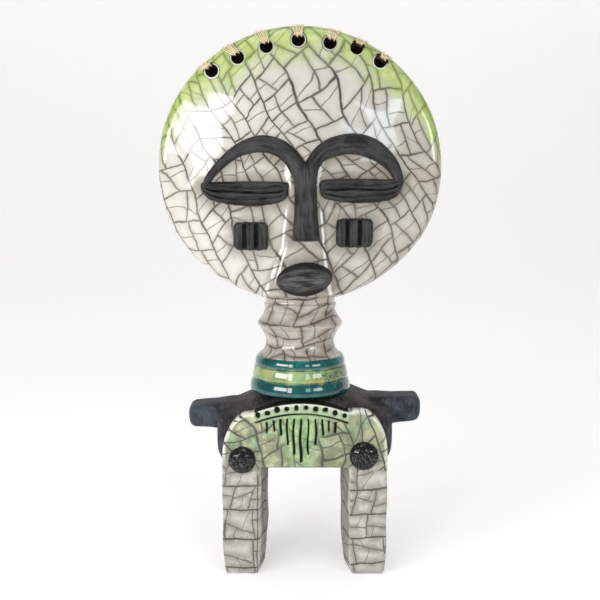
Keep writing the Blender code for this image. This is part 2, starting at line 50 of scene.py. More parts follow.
# %% [markdown]
# ## Sizes
#
# The solids were built from a few named sizes. The fine surfaces need the same ones, so they are written here once
# more, in millimetres, because the numbers of a hand-sized object are easier to read that way. Heights are stacked
# from the feet upwards. A mesh is only turned into metres when it is stored.

# %% Sizes of the doll, in millimetres
LEG_WIDTH, LEG_GAP, LEG_DEPTH = 23.7, 43.0, 48.0
HIP = 60.3
APRON_HEIGHT = 31.5
SHOULDER = HIP + 38.3
TORSO_HALF, ARM_REACH, ARM_HEIGHT = 49.0, 65.8, 85.6
COLLAR_RINGS = (7.9, 6.4, 6.0)
COLLAR_TOP = SHOULDER + sum(COLLAR_RINGS)
NECK_RADIUS = 19.3
CHIN = COLLAR_TOP + 29.7
HEAD_RADIUS, CHIN_FLATTENING, CROWN_FLATTENING = 78.1, 3.2, 1.7
HEAD_CENTRE = CHIN + HEAD_RADIUS - CHIN_FLATTENING
HEAD_RIM, RIM_ROUNDING, FRONT_DOME, BACK_DOME = 10.5, 5.0, 8.0, 6.0
NECK_Y, HEAD_AHEAD = 3.45, 4.0
HEAD_Y = NECK_Y - HEAD_AHEAD
APRON_Y = NECK_Y - 31.0
BODY_OFFSET = 2.6
print(f"chin at {CHIN:.1f} mm, top at {HEAD_CENTRE + HEAD_RADIUS - CROWN_FLATTENING:.1f} mm")

# %% [markdown]
# ## From arrays to meshes
#
# Every surface below is a numpy array of points, row by row. Two helpers turn such grids into meshes. `skin` closes a
# grid round, joins neighbours into four-sided faces and caps both ends with a pole. `slab` takes a front and a back
# grid of the same size and adds the walls between them, wherever the front has an open edge, so even a shape with a
# notch or a fork comes out as one closed piece.


# %% Helpers that make meshes
def put(name, data):
    """Puts a mesh, light or camera into the scene, at the origin."""
    made = bpy.data.objects.new(name, data)
    bpy.context.scene.collection.objects.link(made)
    return made


def store(mesh, name, values):
    """Keeps a number or a vector for each point of a mesh, under a name that its finish can read."""
    values = np.asarray(values, np.float32)
    kind, key = ("FLOAT", "value") if values.ndim == 1 else ("FLOAT_VECTOR", "vector")
    mesh.attributes.new(name, kind, "POINT").data.foreach_set(key, values.ravel())


def place_mesh(name, points, quads, tris=(), sharp=40, stroke=None):
    """Stores points in mm and faces as a mesh object at the origin, smooth but for edges sharper than an angle.

    stroke is each point's place along and across the piece, so that brush marks can follow its length.
    """
    mesh = bpy.data.meshes.new(name)
    faces = [tuple(face) for kind in (quads, tris) for face in np.asarray(kind).tolist()]
    mesh.from_pydata((np.asarray(points, float).reshape(-1, 3) / 1000).tolist(), [], faces)
    if stroke is not None:
        store(mesh, "stroke", stroke)
    bm = bmesh.new()
    bm.from_mesh(mesh)
    bmesh.ops.remove_doubles(bm, verts=bm.verts, dist=1e-7)
    bmesh.ops.recalc_face_normals(bm, faces=bm.faces)
    bm.to_mesh(mesh)
    bm.free()
    mesh.shade_smooth()
    mesh.set_sharp_from_angle(angle=radians(sharp))
    return put(name, mesh)


def grid_faces(rows, columns, wrap=False):
    """The corner numbers of a grid's faces: each point with its right, upper right and upper neighbour."""
    i, j = np.meshgrid(np.arange(rows - 1), np.arange(columns if wrap else columns - 1), indexing="ij")
    k = (j + 1) % columns
    corners = (i * columns + j, i * columns + k, (i + 1) * columns + k, (i + 1) * columns + j)
    return np.stack(corners, -1).reshape(-1, 4)


def skin(name, grid, cap=True, sharp=40):
    """A surface from rows of points that go round. A cap joins each end row to its mean point."""
    rows, columns = grid.shape[:2]
    points, tris, ring = [grid.reshape(-1, 3)], [], np.arange(columns)
    for row in (0, rows - 1) if cap else ():
        pole = np.full(columns, rows * columns + len(tris))
        points.append(grid[row].mean(0)[None])
        tris.append(np.stack([row * columns + ring, row * columns + (ring + 1) % columns, pole], -1))
    tris = np.concatenate(tris) if cap else ()
    return place_mesh(name, np.concatenate(points), grid_faces(rows, columns, True), tris, sharp)


def slab(name, front, back, keep=None, sharp=40, mark=0.0):
    """A closed piece between two grids of equal size. keep marks the cells that exist, where not all do.

    mark is one more number for each point, kept beside the stroke for the finish to use.
    """
    rows, columns = front.shape[:2]
    faces = grid_faces(rows, columns)
    if keep is not None:
        faces = faces[keep.reshape(-1)]
    count = rows * columns
    edges = np.concatenate([faces[:, [i, (i + 1) % 4]] for i in range(4)])
    _, first, times = np.unique(np.sort(edges, 1), axis=0, return_index=True, return_counts=True)
    rim = edges[first[times == 1]]
    walls = np.stack([rim[:, 1], rim[:, 0], rim[:, 0] + count, rim[:, 1] + count], -1)
    quads = np.concatenate([faces, faces[:, ::-1] + count, walls])
    points = np.concatenate([front.reshape(-1, 3), back.reshape(-1, 3)])
    lines = (front[:, columns // 2], front[rows // 2])
    steps = (np.linalg.norm(np.diff(line, axis=0), axis=1) for line in lines)
    down, over = (np.concatenate([[0], np.cumsum(step)]) for step in steps)
    stroke = np.stack(np.broadcast_arrays(down[:, None], over, mark), -1).reshape(-1, 3)
    used = np.unique(quads)
    number = np.zeros(2 * count, int)
    number[used] = np.arange(len(used))
    return place_mesh(name, points[used], number[quads], (), sharp, np.concatenate([stroke, stroke])[used])


def dress(piece, material, slot, *nodes):
    """The piece gets its finish, rides on the doll's one body, and stands for these solids."""
    piece.data.materials.clear()
    piece.data.materials.append(material)
    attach(piece, "root")
    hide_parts(*nodes)
    piece.data.calc_loop_triangles()
    print(f"{piece.name}: {len(piece.data.loop_triangles)} triangles, {material.name}")


print("a grid of 3 by 4 points has", len(grid_faces(3, 4)), "faces, and", len(grid_faces(3, 4, True)), "closed round")


# %% Helpers for curves and soft steps
def xyz(x, y, z):
    """Points from three arrays, each repeated until all have the same shape."""
    return np.stack(np.broadcast_arrays(x, y, z), -1)


def around(count):
    """The angles of one full turn. The last is left out, because it is the first again."""
    return np.linspace(0, 2 * pi, count, endpoint=False)


def smooth(low, high, value):
    """Rises smoothly from 0 at low to 1 at high: 3 t squared less 2 t cubed, with t the share of the way."""
    t = np.clip((np.asarray(value, float) - low) / (high - low), 0, 1)
    return t * t * (3 - 2 * t)


def bell(distance, width):
    """A soft bump: e to the power of minus the square of distance over width."""
    return np.exp(-((distance / width) ** 2))


def round_edge(distance, radius):
    """A quarter-round edge: 0 at the edge, 1 from a radius inwards, the root of 1 less (1 less d / r) squared."""
    t = 1 - np.clip(distance / radius, 0, 1)
    return np.sqrt(1 - t * t)


def curve(stops, count):
    """Evenly spaced points on a smooth curve through the stops: a Catmull-Rom spline, measured along its length."""
    stops = np.asarray(stops, float)
    at = np.linspace(0, len(stops) - 1, 40 * len(stops))
    i = np.minimum(at.astype(int), len(stops) - 2)
    t = (at - i)[:, None]
    before, start, end, after = (stops[np.clip(i + k, 0, len(stops) - 1)] for k in (-1, 0, 1, 2))
    bend = 2 * before - 5 * start + 4 * end - after
    twist = 3 * start - before - 3 * end + after
    dense = (2 * start + (end - before) * t + bend * t**2 + twist * t**3) / 2
    length = np.concatenate([[0], np.cumsum(np.linalg.norm(np.diff(dense, axis=0), axis=1))])
    wanted = np.linspace(0, length[-1], count)
    return np.stack([np.interp(wanted, length, dense[:, k]) for k in range(dense.shape[1])], -1)


print(f"half a radius in from a rounded edge, {round_edge(0.5, 1.0):.2f} of the full height is reached")

# %% [markdown]
# ## Finishes as sums
#
# A material in Blender is a net of nodes, and drawing one by hand hides the sum that it works out. So one small class
# stands for a value on its way through the net. Adding or multiplying two values adds the Math node that does it, and
# `node` makes any other node from its type, its settings and what goes into it.


# %% A class for shader sums
def math_node(operation, flip=False):
    """A method that adds the Math node of this operation. flip puts the value itself last."""

    def method(self, *others):
        values = (*others, self) if flip else (self, *others)
        return Flow.node("Math", {"operation": operation}, **{f"_{k}": v for k, v in enumerate(values)})

    return method


class Flow:
    """A number, colour or vector inside a material."""

    tree = None

    def __init__(self, socket):
        self.socket = socket

    @classmethod
    def node(cls, kind, settings=None, output=0, **inputs):
        """Adds a node. settings are set first, and inputs are the values or links of its sockets."""
        made = cls.tree.nodes.new("ShaderNode" + kind)
        for key, value in (settings or {}).items():
            setattr(made, key, value)
        for key, value in inputs.items():
            name = int(key[1:]) if key[0] == "_" else key.replace("_", " ")
            if isinstance(value, cls):
                cls.tree.links.new(value.socket, made.inputs[name])
            else:
                made.inputs[name].default_value = value
        if isinstance(output, tuple):
            return [cls(made.outputs[o]) for o in output]
        return cls(made.outputs[output])

    __add__ = __radd__ = math_node("ADD")
    __mul__ = __rmul__ = math_node("MULTIPLY")
    __sub__, __rsub__ = math_node("SUBTRACT"), math_node("SUBTRACT", True)
    __truediv__, __rtruediv__ = math_node("DIVIDE"), math_node("DIVIDE", True)
    __pow__, floor, part = math_node("POWER"), math_node("FLOOR"), math_node("FRACT")
    size, sign, above = math_node("ABSOLUTE"), math_node("SIGN"), math_node("GREATER_THAN")
    most, least = math_node("MAXIMUM"), math_node("MINIMUM")

    def step(self, low, high):
        """0 below low, 1 above high, and a soft rise between. It falls instead where low is the larger."""
        if low > high:
            return 1 - self.step(high, low)
        settings = {"interpolation_type": "SMOOTHSTEP", "clamp": True}
        return Flow.node("MapRange", settings, Value=self, From_Min=low, From_Max=high)

    def fall(self, high, low):
        """1 below low, 0 above high, with a soft fall between. The limits may be values."""
        t = ((high - self) / (high - low)).most(0.0).least(1.0)
        return t * t * (3.0 - 2.0 * t)


def numbers(vector):
    """The three numbers of a vector."""
    return Flow.node("SeparateXYZ", output=(0, 1, 2), Vector=vector)


def point(x, y, z=0.0):
    """A vector from three numbers."""
    return Flow.node("CombineXYZ", X=x, Y=y, Z=z)


def stored(name, output="Vector"):
    """What `store` kept for each point of a piece."""
    return Flow.node("Attribute", {"attribute_name": name}, output=output)


def start_finish(name):
    """A new material, its shader, and a spot on the doll in mm as a vector and as its three numbers."""
    material = bpy.data.materials.new(name)
    material.use_nodes = True
    Flow.tree = material.node_tree
    spot = Flow.node("TexCoord", output="Object")
    spot = Flow.node("VectorMath", {"operation": "SCALE"}, _0=spot, Scale=1000.0)
    return material, Flow.tree.nodes["Principled BSDF"], spot, *numbers(spot)


def finish(shader, **sockets):
    """Links values to the shader's sockets, or sets them where they are the same all over."""
    for key, value in sockets.items():
        socket = shader.inputs[key.replace("_", " ")]
        if isinstance(value, Flow):
            Flow.tree.links.new(value.socket, socket)
        else:
            socket.default_value = value


print("a shader sum knows", sum(name.startswith("__r") for name in vars(Flow)), "reflected operators")


# %% Colours, clouds and relief
def colour(code):
    """A colour from its usual code of six hex digits, as the linear values that a shader works in."""
    values = [int(code[i : i + 2], 16) / 255 for i in (0, 2, 4)]
    return (*[v / 12.92 if v <= 0.04045 else ((v + 0.055) / 1.055) ** 2.4 for v in values], 1.0)


def blend(share, below, above):
    """Mixes two colours by a share."""
    settings = {"data_type": "RGBA", "clamp_factor": True}
    return Flow.node("Mix", settings, output=2, _0=share, _6=below, _7=above)


def tint(base, share, code):
    """Lays a colour over the base by a share."""
    return blend(share, base, colour(code))


def noise(where, scale, detail=3.0, roughness=0.55, output="Fac"):
    """Blender's cloud noise, with its scale per millimetre."""
    return Flow.node("TexNoise", output=output, Vector=where, Scale=scale, Detail=detail, Roughness=roughness)


def clouds(where, scale, low, high, detail=3.0, roughness=0.55):
    """Soft-edged clouds: 0 where the noise is below low, 1 where it is above high."""
    return noise(where, scale, detail, roughness).step(low, high)


def sway(where, scale, reach, detail=3.0, roughness=0.55):
    """A noise round 0 that shifts a border to and fro. At most it shifts by half its reach."""
    return (noise(where, scale, detail, roughness) - 0.5) * reach


def relief(height):
    """Turns a height in mm into the light and shade of its slopes."""
    return Flow.node("Bump", output="Normal", Height=height, Distance=0.001, Strength=1.0)


print("a middle grey is", round(colour("808080")[0], 3), "in linear light")

# %% [markdown]
# ## The crackle
#
# Raku glaze crazes as it cools. Long cracks come first, shorter ones then split each field and stop where they meet
# an older crack, so nearly all junctions are T-shaped. A Voronoi pattern has no such order and looks like cobbles.
# So the cracks here come in four generations. Wavy parallel lines are the oldest. Each strip between two of them is
# broken across at places of its own, each field of those may be split lengthways, and each half may be split again.
# White noise gives every strip, field and half its own chances.


# %% Cracks in four generations
def chances(a, b, c=0.0):
    """Three random numbers that belong to a cell's three labels."""
    white = Flow.node("TexWhiteNoise", output="Color", Vector=point(a, b, c))
    return Flow.node("SeparateColor", output=(0, 1, 2), Color=white)


def warped(here, swings):
    """Shifts a place by clouds of several sizes. A swing is a scale and a reach in mm."""
    for scale, reach in swings:
        cloud = noise(here, scale, 0.0, 0.5, "Color")
        cloud = Flow.node("VectorMath", {"operation": "SUBTRACT"}, _0=cloud, _1=(0.5, 0.5, 0.5))
        cloud = Flow.node("VectorMath", {"operation": "SCALE"}, _0=cloud, Scale=reach)
        here = Flow.node("VectorMath", {"operation": "ADD"}, _0=here, _1=cloud)
    return here


def to_border(share, width):
    """The distance to the nearer border of a cell, from the share of its width."""
    return (0.5 - (share - 0.5).size()) * width


def crackle(u, v, strip, brick, turn, width, seed, swings, minor=1.0):
    """Cracks on a surface with coordinates u and v in mm.

    strip and brick are the width and length of the first cells, turn is the oldest cracks' direction in full turns,
    width is a crack's own, and minor scales the younger cracks. Returns how dark the crack is, two chances of the
    cell, and the distance to the nearest crack in mm.
    """
    here = point(u + seed * 137.0, v + seed * 71.0)
    bu, bv, _ = numbers(warped(here, swings))
    c, s = cos(2 * pi * turn), sin(2 * pi * turn)
    across, along = bu * c + bv * s, bv * c - bu * s

    row = across / strip
    n1, p = row.floor(), row.part()
    d1 = to_border(p, strip)
    a1, a2, a3 = chances(n1, seed)
    length = brick * (0.75 + 0.6 * a1)
    field = (along + (p - 0.5) * (a3 - 0.5) * (strip * 1.1)) / length + a2 * 11.0
    n2, q = field.floor(), field.part()
    d2 = to_border(q, length)

    absent = 99.0
    b1, b2, b3 = chances(n1, n2, seed + 0.5)
    split = p - (0.34 + 0.32 * b1) - (q - 0.5) * (b2 - 0.5) * 0.9
    whole = b3.above(0.94)
    d3 = split.size() * strip + whole * absent
    side = split.above(0.0) * (1 - whole)
    e1, e2, e3 = chances(n1 * 2.0 + side, n2, seed + 7.5)
    again = q - (0.33 + 0.34 * e1) - (p - 0.5) * (e2 - 0.5) * 1.2
    whole = e3.above(0.8)
    d4 = again.size() * length + whole * absent
    half = again.above(0.0) * (1 - whole)
    t1, t2, _ = chances(n1 * 2.0 + side, n2 * 2.0 + half, seed + 3.5)

    thick = width * (0.5 + 1.0 * noise(here, 0.3, 2.0))
    smoke = clouds(here, 0.07, 0.25, 0.65, 2.0)
    cracks = 0.0
    for distance, reach, dark in (
        (d4, minor, 0.7 * minor), (d3, 1.15 * minor, 0.86 * minor), (d2, 1.25 * minor, 0.95 * minor), (d1, 1.3, 1.0)
    ):
        line = distance.fall(thick * reach, thick * (reach * 0.3)) * (dark * 0.72 + smoke * (dark * 0.28))
        cracks = line.most(cracks)
    return cracks, t1, t2, d1.least(d2).least(d3)


FINE_SWING = (0.3, 0.8)
print("a crack's finest swing is", FINE_SWING[1], "mm")

# %% [markdown]
# ## The glazes
#
# The pale glaze is a clear, faintly milky coat over light clay. Each cell took the smoke a little differently, so
# neighbours differ from pinkish to greenish grey. The coat is glossy and hardly follows the cracks, which is why the
# clear coat gets only the slow unevenness while the cracks darken the colour under it. The lime, olive and mint of
# head and apron are washes of oxide on the same glaze, so they share its recipe. The teal collar is thick and free of
# cracks, and gets one of its own.


# %% The pale crackle glaze
def pale_glaze(crackled, spot, light="cac7bb", pink="c3bbb0", grey="bfbeb4", milk="d6d3cb"):
    """The colour between the cracks, cell by cell, with a little smoke beside each crack."""
    _, t1, t2, nearest = crackled
    base = tint(blend(t1, colour(light), colour(pink)), t2.step(0.55, 1.0), grey)
    base = tint(base, clouds(spot, 0.05, 0.45, 0.75) * 0.6, milk)
    base = tint(base, clouds(spot, 0.11, 0.52, 0.72, 4.0, 0.6) * 0.45, "b0a592")
    base = tint(base, nearest.step(1.8, 4.6) * 0.3, "f3f0e7")
    return tint(base, nearest.step(2.3, 0.0) * 0.52, "796d5e")


def glossy(shader, base, cracks, spot, dark="352d26", bare=0.0):
    """Draws the cracks, and adds the glassy coat: a slow unevenness, with a fine groove along each crack.

    bare is where the coat is missing.
    """
    slow = noise(spot, 0.09, 2.0) * 0.5 + noise(spot, 0.24, 2.0) * 0.1
    height = slow + noise(spot, 0.6, 2.0) * 0.03 - cracks * 0.06
    finish(shader, Base_Color=tint(base, cracks * 0.95, dark), Roughness=bare * 0.5 + 0.3, Specular_IOR_Level=0.2)
    finish(shader, Coat_Weight=0.95 - bare * 0.95, Coat_Roughness=0.05, Coat_IOR=1.7, Normal=relief(height))


# %% Head glaze, with its lime rim
def head_glaze():
    """Crackle that turns over the rim to the back, lime towards the crown, paler left and top (partly painted light),
    painted shade to the right and beside the relief, and painted highlight lines on the swell.
    """
    material, shader, spot, x, y, z = start_finish("head_crackle_glaze")
    up = z - HEAD_CENTRE
    round_rim = (y - (HEAD_Y - HEAD_RIM / 2)).most(0.0) / HEAD_RADIUS
    u, v = x + x * round_rim, z + up * round_rim + y * 0.35
    crackled = crackle(u, v, 15.5, 14.5, 0.08, 0.6, 3.0, ((0.014, 29.0), (0.055, 6.2), FINE_SWING))
    cracks, nearest = crackled[0], crackled[3]
    base = pale_glaze(crackled, spot)
    # Painted light: the glaze is made darker on the right, as painted shade away from the light from the left, and
    # lighter on the left and towards the top, partly a paler glaze and partly painted light.
    side = (x + sway(spot, 0.03, 50.0, 2.0)).step(-58.0, 58.0)
    base = tint(tint(base, (1 - side) * 0.45, "e6e2d6"), side * 0.45, "a19a8a")
    base = tint(base, up.step(6.0, 34.0) * 0.3, "e6e6e2")

    radius = (x * x + up * up) ** 0.5
    upward = up / radius.most(1.0)
    reach = 4.0 + 20.0 * upward.step(-0.1, 0.95)
    lime_share = ((HEAD_RADIUS - radius) / reach + sway(spot, 0.06, 1.5, 4.0, 0.65)).step(1.2, 0.3)
    lime_share = lime_share * upward.step(-0.1, 0.25)
    lime = blend(clouds(spot, 0.1, 0.3, 0.7), colour("c3d186"), colour("a6bd68"))
    lime = tint(lime, clouds(spot, 0.17, 0.5, 0.75) * 0.6, "dbe0ae")
    lime = tint(lime, clouds(spot, 0.2, 0.55, 0.75, 4.0, 0.7) * 0.5, "8aa04f")
    lime = tint(lime, nearest.step(2.2, 0.0) * 0.55, "7c8c46")
    base = blend(lime_share, base, lime)

    # Painted shade: the glaze darkens around the raised black pieces, most at their foot.
    relief_shade = (stored("beside", "Fac") + sway(spot, 0.2, 5.0)).step(8.5, 0.2)
    base = tint(base, relief_shade * 0.6, "766b5c")
    _, across, below = numbers(stored("shoulder"))
    # Painted highlight: white lines along the swell's shoulders, where the glossy glaze would mirror the lights.
    shoulder_highlight = (across + sway(spot, 0.12, 0.12, 2.0) - 0.77).size().step(0.07, 0.025)
    shoulder_highlight = shoulder_highlight * below.step(0.24, 0.34) * below.step(0.94, 0.86)
    base = tint(base, shoulder_highlight * clouds(spot, 0.16, 0.34, 0.5), "ffffff")
    glossy(shader, base, cracks * (1 - lime_share * 0.5), spot)
    return material


HEAD_GLAZE = head_glaze()
print("made", HEAD_GLAZE.name, "with", len(HEAD_GLAZE.node_tree.nodes), "nodes")

# %% [markdown]
# ## The head
#
# The head is a shallow dome on both sides of a rounded rim, a little flattened at chin and crown. Polar coordinates
# suit it: each row of the grid is a ring from the middle of the face, over the rim, to the middle of the back. A
# swell of clay runs up from the neck behind the mouth and nose. Its shoulders are what catch the light beside the
# nose.


# %% The face as a formula
def head_edge(angle):
    """The radius at an angle from the top: the head's radius, less a soft flat at the chin and one at the crown."""
    up = np.cos(angle)
    return HEAD_RADIUS - CHIN_FLATTENING * smooth(0.3, 1.0, -up) - CROWN_FLATTENING * smooth(0.3, 1.0, up)


def head_depth(x, z, dome):
    """The distance from the head's middle plane: the quarter-round rim plus a dome of 1 less radius squared."""
    up = z - HEAD_CENTRE
    radius = np.hypot(x, up)
    edge = head_edge(np.arctan2(x, up))
    share = np.minimum(1, radius / edge)
    return HEAD_RIM / 2 * round_edge(edge - radius, RIM_ROUNDING) + dome * (1 - share**2)


def swell_middle(drop):
    """The swell's middle line wanders a little from side to side on its way down."""
    return np.interp(drop, (0.2, 0.56, 0.84, 1.0), (2.2, 1.6, -0.8, 0.0))


def swell_across(x, z):
    """How far out on the swell a spot is, 0 in its middle and 1 at its foot, and how far below the head's middle."""
    drop = (HEAD_CENTRE - z) / HEAD_RADIUS
    half = HEAD_RADIUS * np.interp(drop, (-0.2, 0.27, 0.56, 0.84, 1.0), (0.13, 0.155, 0.19, 0.28, 0.33))
    return np.abs(x - swell_middle(drop)) / half, drop


def swell(x, z):
    """The ridge behind nose and mouth: a soft rise and a sharper shoulder, wider and higher towards the neck."""
    across, drop = swell_across(x, z)
    profile = 1 - 0.12 * smooth(0.2, 1.0, across) - 0.88 * smooth(0.6, 1.0, across)
    plain = HEAD_AHEAD + head_depth(0 * x + swell_middle(drop), z, FRONT_DOME)
    to_neck = np.maximum(0, NECK_RADIUS + 0.8 - plain)
    height = 2.4 * smooth(-0.15, 0.2, drop) * (1 - smooth(0.3, 0.8, drop)) + to_neck * smooth(0.25, 0.8, drop)
    return height * profile


def face_y(x, z, lift=0.0):
    """Where the face is at a spot, or something lifted off it. The face looks along minus y."""
    return HEAD_Y - head_depth(x, z, FRONT_DOME) - swell(x, z) - lift


def hand_made(x, z):
    """A faint unevenness of a pressed slab, a sum of three slow waves."""
    return 0.12 * np.sin(x / 11 + z / 17) + 0.10 * np.sin(x / 7 - z / 13 + 1) + 0.06 * np.sin(x / 5 + z / 4)


print(f"the face lies {HEAD_Y - face_y(0.0, HEAD_CENTRE):.1f} mm before the head's middle plane")

# %% The head's surface
turn = around(420)
edge = head_edge(turn)
inward = (RIM_ROUNDING * (1 - np.sin(np.linspace(0, pi / 2, 15))))[:, None]
front = np.concatenate([np.linspace(0.012, 0.93, 95)[:, None] * edge, edge - inward])
back = np.concatenate([(edge - inward)[::-1][1:], np.linspace(0.93, 0.02, 40)[:, None] * edge])
rings = []
for radius, side, dome, shift in ((front, -1, FRONT_DOME, 0), (back, 1, BACK_DOME, 40)):
    x, z = radius * np.sin(turn), HEAD_CENTRE + radius * np.cos(turn)
    waves = hand_made(x + shift, z)
    if side < 0:
        waves = waves + swell(x, z)
    y = HEAD_Y + side * (head_depth(x, z, dome) + smooth(0, RIM_ROUNDING, edge - radius) * waves)
    rings.append(xyz(x, y, z))
head = skin("head_disc", np.concatenate(rings))
print("head grid:", [len(ring) for ring in rings], "rings of", len(turn), "points")

# %% Seven holes through the crown
HOLES = ((-42.7, 6.6), (-29.8, 8.9), (-15.7, 9.4), (-0.8, 8.3), (13.7, 8.0), (25.6, 5.7), (37.4, 5.4))
HOLE_RADIUS, LIP_GROUND = 3.25, 0.35


def hole_spot(angle, inset):
    """A crown hole's middle: its angle from the top, and its distance in from the rim."""
    a = radians(angle)
    radius = float(head_edge(a)) - inset
    return radius * sin(a), HEAD_CENTRE + radius * cos(a)


def drill(piece, spots, radius):
    """Cuts round holes from front to back, then keeps the cut mesh and deletes the drills."""
    ring, bits = around(48), []
    for number, (x, z) in enumerate(spots):
        rows = [xyz(x + radius * np.cos(ring), y, z + radius * np.sin(ring)) for y in (-40, 40)]
        bits.append(skin(f"drill_{number}", np.stack(rows)))
        cut = piece.modifiers.new(f"hole_{number}", "BOOLEAN")
        cut.object = bits[-1]
        cut.solver = "EXACT"
    cut_mesh = bpy.data.meshes.new_from_object(piece.evaluated_get(bpy.context.evaluated_depsgraph_get()))
    piece.modifiers.clear()
    piece.data = cut_mesh
    for bit in bits:
        bpy.data.objects.remove(bit, do_unlink=True)


drill(head, [hole_spot(*hole) for hole in HOLES], HOLE_RADIUS + LIP_GROUND)
head.data.shade_smooth()
head.data.set_sharp_from_angle(angle=radians(40))
dress(head, HEAD_GLAZE, "raku_clay", "doll")

# %% [markdown]
# ## Hole rims
#
# The glaze draws back from the edge of each hole and leaves a pale rounded lip, and the wall inside is dark from
# smoke. Each lip is a turned profile: out on the face, over the lip, through the head, and out on the back.


# %% Lip material and hole lips
def lip_glaze():
    """Pale on the surface, dark below it: a spot's depth is set against the depth of the dome."""
    material, shader, spot, x, y, z = start_finish("hole_lip_glaze")
    up = z - HEAD_CENTRE
    ahead = (HEAD_Y - y).above(0.0)
    share = (x * x + up * up) / HEAD_RADIUS**2
    surface = HEAD_RIM / 2 + (BACK_DOME + ahead * (FRONT_DOME - BACK_DOME)) * (1 - share)
    inside = (surface - (y - HEAD_Y).size()).step(-0.15, 0.3)
    base = blend(clouds(spot, 0.5, 0.3, 0.7), colour("ffffff"), colour("edf2cc"))
    base = tint(base, inside, "2b201a")
    height = noise(spot, 1.2) * 0.1
    finish(shader, Base_Color=base, Roughness=0.5 + inside * 0.5, Specular_IOR_Level=0.12, Normal=relief(height))
    return material


LIP = lip_glaze()
outwards = HOLE_RADIUS + np.array([1.4, 1.15, 0.7, 0.3, 0.05, 0, 0])[:, None]
lifts = np.array([-0.15, 0.08, 0.22, 0.12, -0.25, -0.7, -3])[:, None]
ring = around(64)
for number, hole in enumerate(HOLES):
    hx, hz = hole_spot(*hole)
    x, z = hx + outwards * np.cos(ring), hz + outwards * np.sin(ring)
    ahead = xyz(x, HEAD_Y - head_depth(x, z, FRONT_DOME) - lifts, z)
    behind = xyz(x, HEAD_Y + head_depth(x, z, BACK_DOME) + lifts, z)
    lip = skin(f"hole_lip_{number + 1}", np.concatenate([ahead, behind[::-1]]), cap=False)
    dress(lip, LIP, "raku_clay", "doll")

# %% [markdown]
# ## Black relief
#
# Brows, nose, eyes, cheek marks and mouth are rolls and pats of clay, pressed on and left without glaze, so the smoke
# turned them matt black. The lines of the brush and the tool still run along them. Brow and nose are one piece,
# forked like a Y: two strips that share the nose's middle line. Each point of a strip rises by how far it lies from
# the outline, in a quarter circle, so a piece is round where it is narrow and flat where it is wide. Marks are drawn
# in the strip's own coordinates, which every slab keeps as its stroke.


# %% Smoked clay
def smoked_clay(name, dark="010101", light="3d3c3b", stretch=(0.09, 1.1), cool="3f4044", seed=0.0):
    """Matt black clay with strokes along the piece: a noise stretched along the slab's own coordinates. Painted shade
    darkens it where the piece is low.
    """
    material, shader, spot, *_ = start_finish(name)
    down, over, ridge = numbers(stored("stroke"))
    down, over = down * stretch[0], over * stretch[1]
    strokes = noise(point(down + seed, over, seed), 1.4, 3.0, 0.6)
    brushed = noise(point(down * 0.6, over * 0.3, seed + 3.0), 1.4, 2.0)
    grain, cloud = noise(spot, 2.0, 3.0, 0.6), noise(spot, 0.1)
    marks = (strokes * 0.35 + brushed * 0.4 + grain * 0.1 + cloud * 0.15).step(0.42, 0.58)
    base = tint(blend(marks, colour(dark), colour(light)), cloud.step(0.46, 0.66) * 0.45, cool)
    # Painted shade: darker where the piece is low, in the grooves of eyes and cheek marks and at the mouth's edges.
    base = tint(base, ridge.step(0.92, 0.5) * 0.9, "050505")
    height = strokes * 0.4 + brushed * 0.5 + grain * 0.2
    finish(shader, Base_Color=base, Roughness=0.34 + 0.25 * grain, Specular_IOR_Level=0.36, Normal=relief(height))
    return material


BLACK_CLAY = smoked_clay("smoked_clay")
RIB_CLAY = smoked_clay("smoked_rib_clay", stretch=(1.1, 0.09), seed=9.0)
LIP_CLAY = smoked_clay("smoked_lip_clay", "060606", "5f5e59", cool="565a50", seed=5.0)
print("made", BLACK_CLAY.name, RIB_CLAY.name, LIP_CLAY.name)

# %% Pressed-on pieces
SUNK = 0.6
outlines = []


def pressed(name, plan, height, material, keep=None, mark=1.0):
    """A piece pressed on the face: its front is lifted off the face by height, its back is sunk in a little."""
    x, z = plan[..., 0], plan[..., 1]
    outlines.extend([plan[:, 0], plan[:, -1]])
    piece = slab(name, xyz(x, face_y(x, z, height), z), xyz(x, face_y(x, z, -SUNK), z), keep, mark=mark)
    dress(piece, material, "raku_clay", "doll")


def spread(first, second, count):
    """A strip between two curves. Its cross lines are denser at both edges, by a cosine."""
    share = ((1 - np.cos(np.linspace(0, pi, count))) / 2)[None, :, None]
    return first[:, None] * (1 - share) + second[:, None] * share


def nearest_distance(points, outline):
    """The distance from each point to the closest point of an outline."""
    flat = points.reshape(-1, 2)
    best = np.full(len(flat), np.inf)
    for part in np.array_split(outline, 12):
        gap = flat[:, None, :] - part[None]
        best = np.minimum(best, np.sqrt((gap * gap).sum(-1)).min(1))
    return best.reshape(points.shape[:-1])


print("black pieces are sunk", SUNK, "mm into the face")

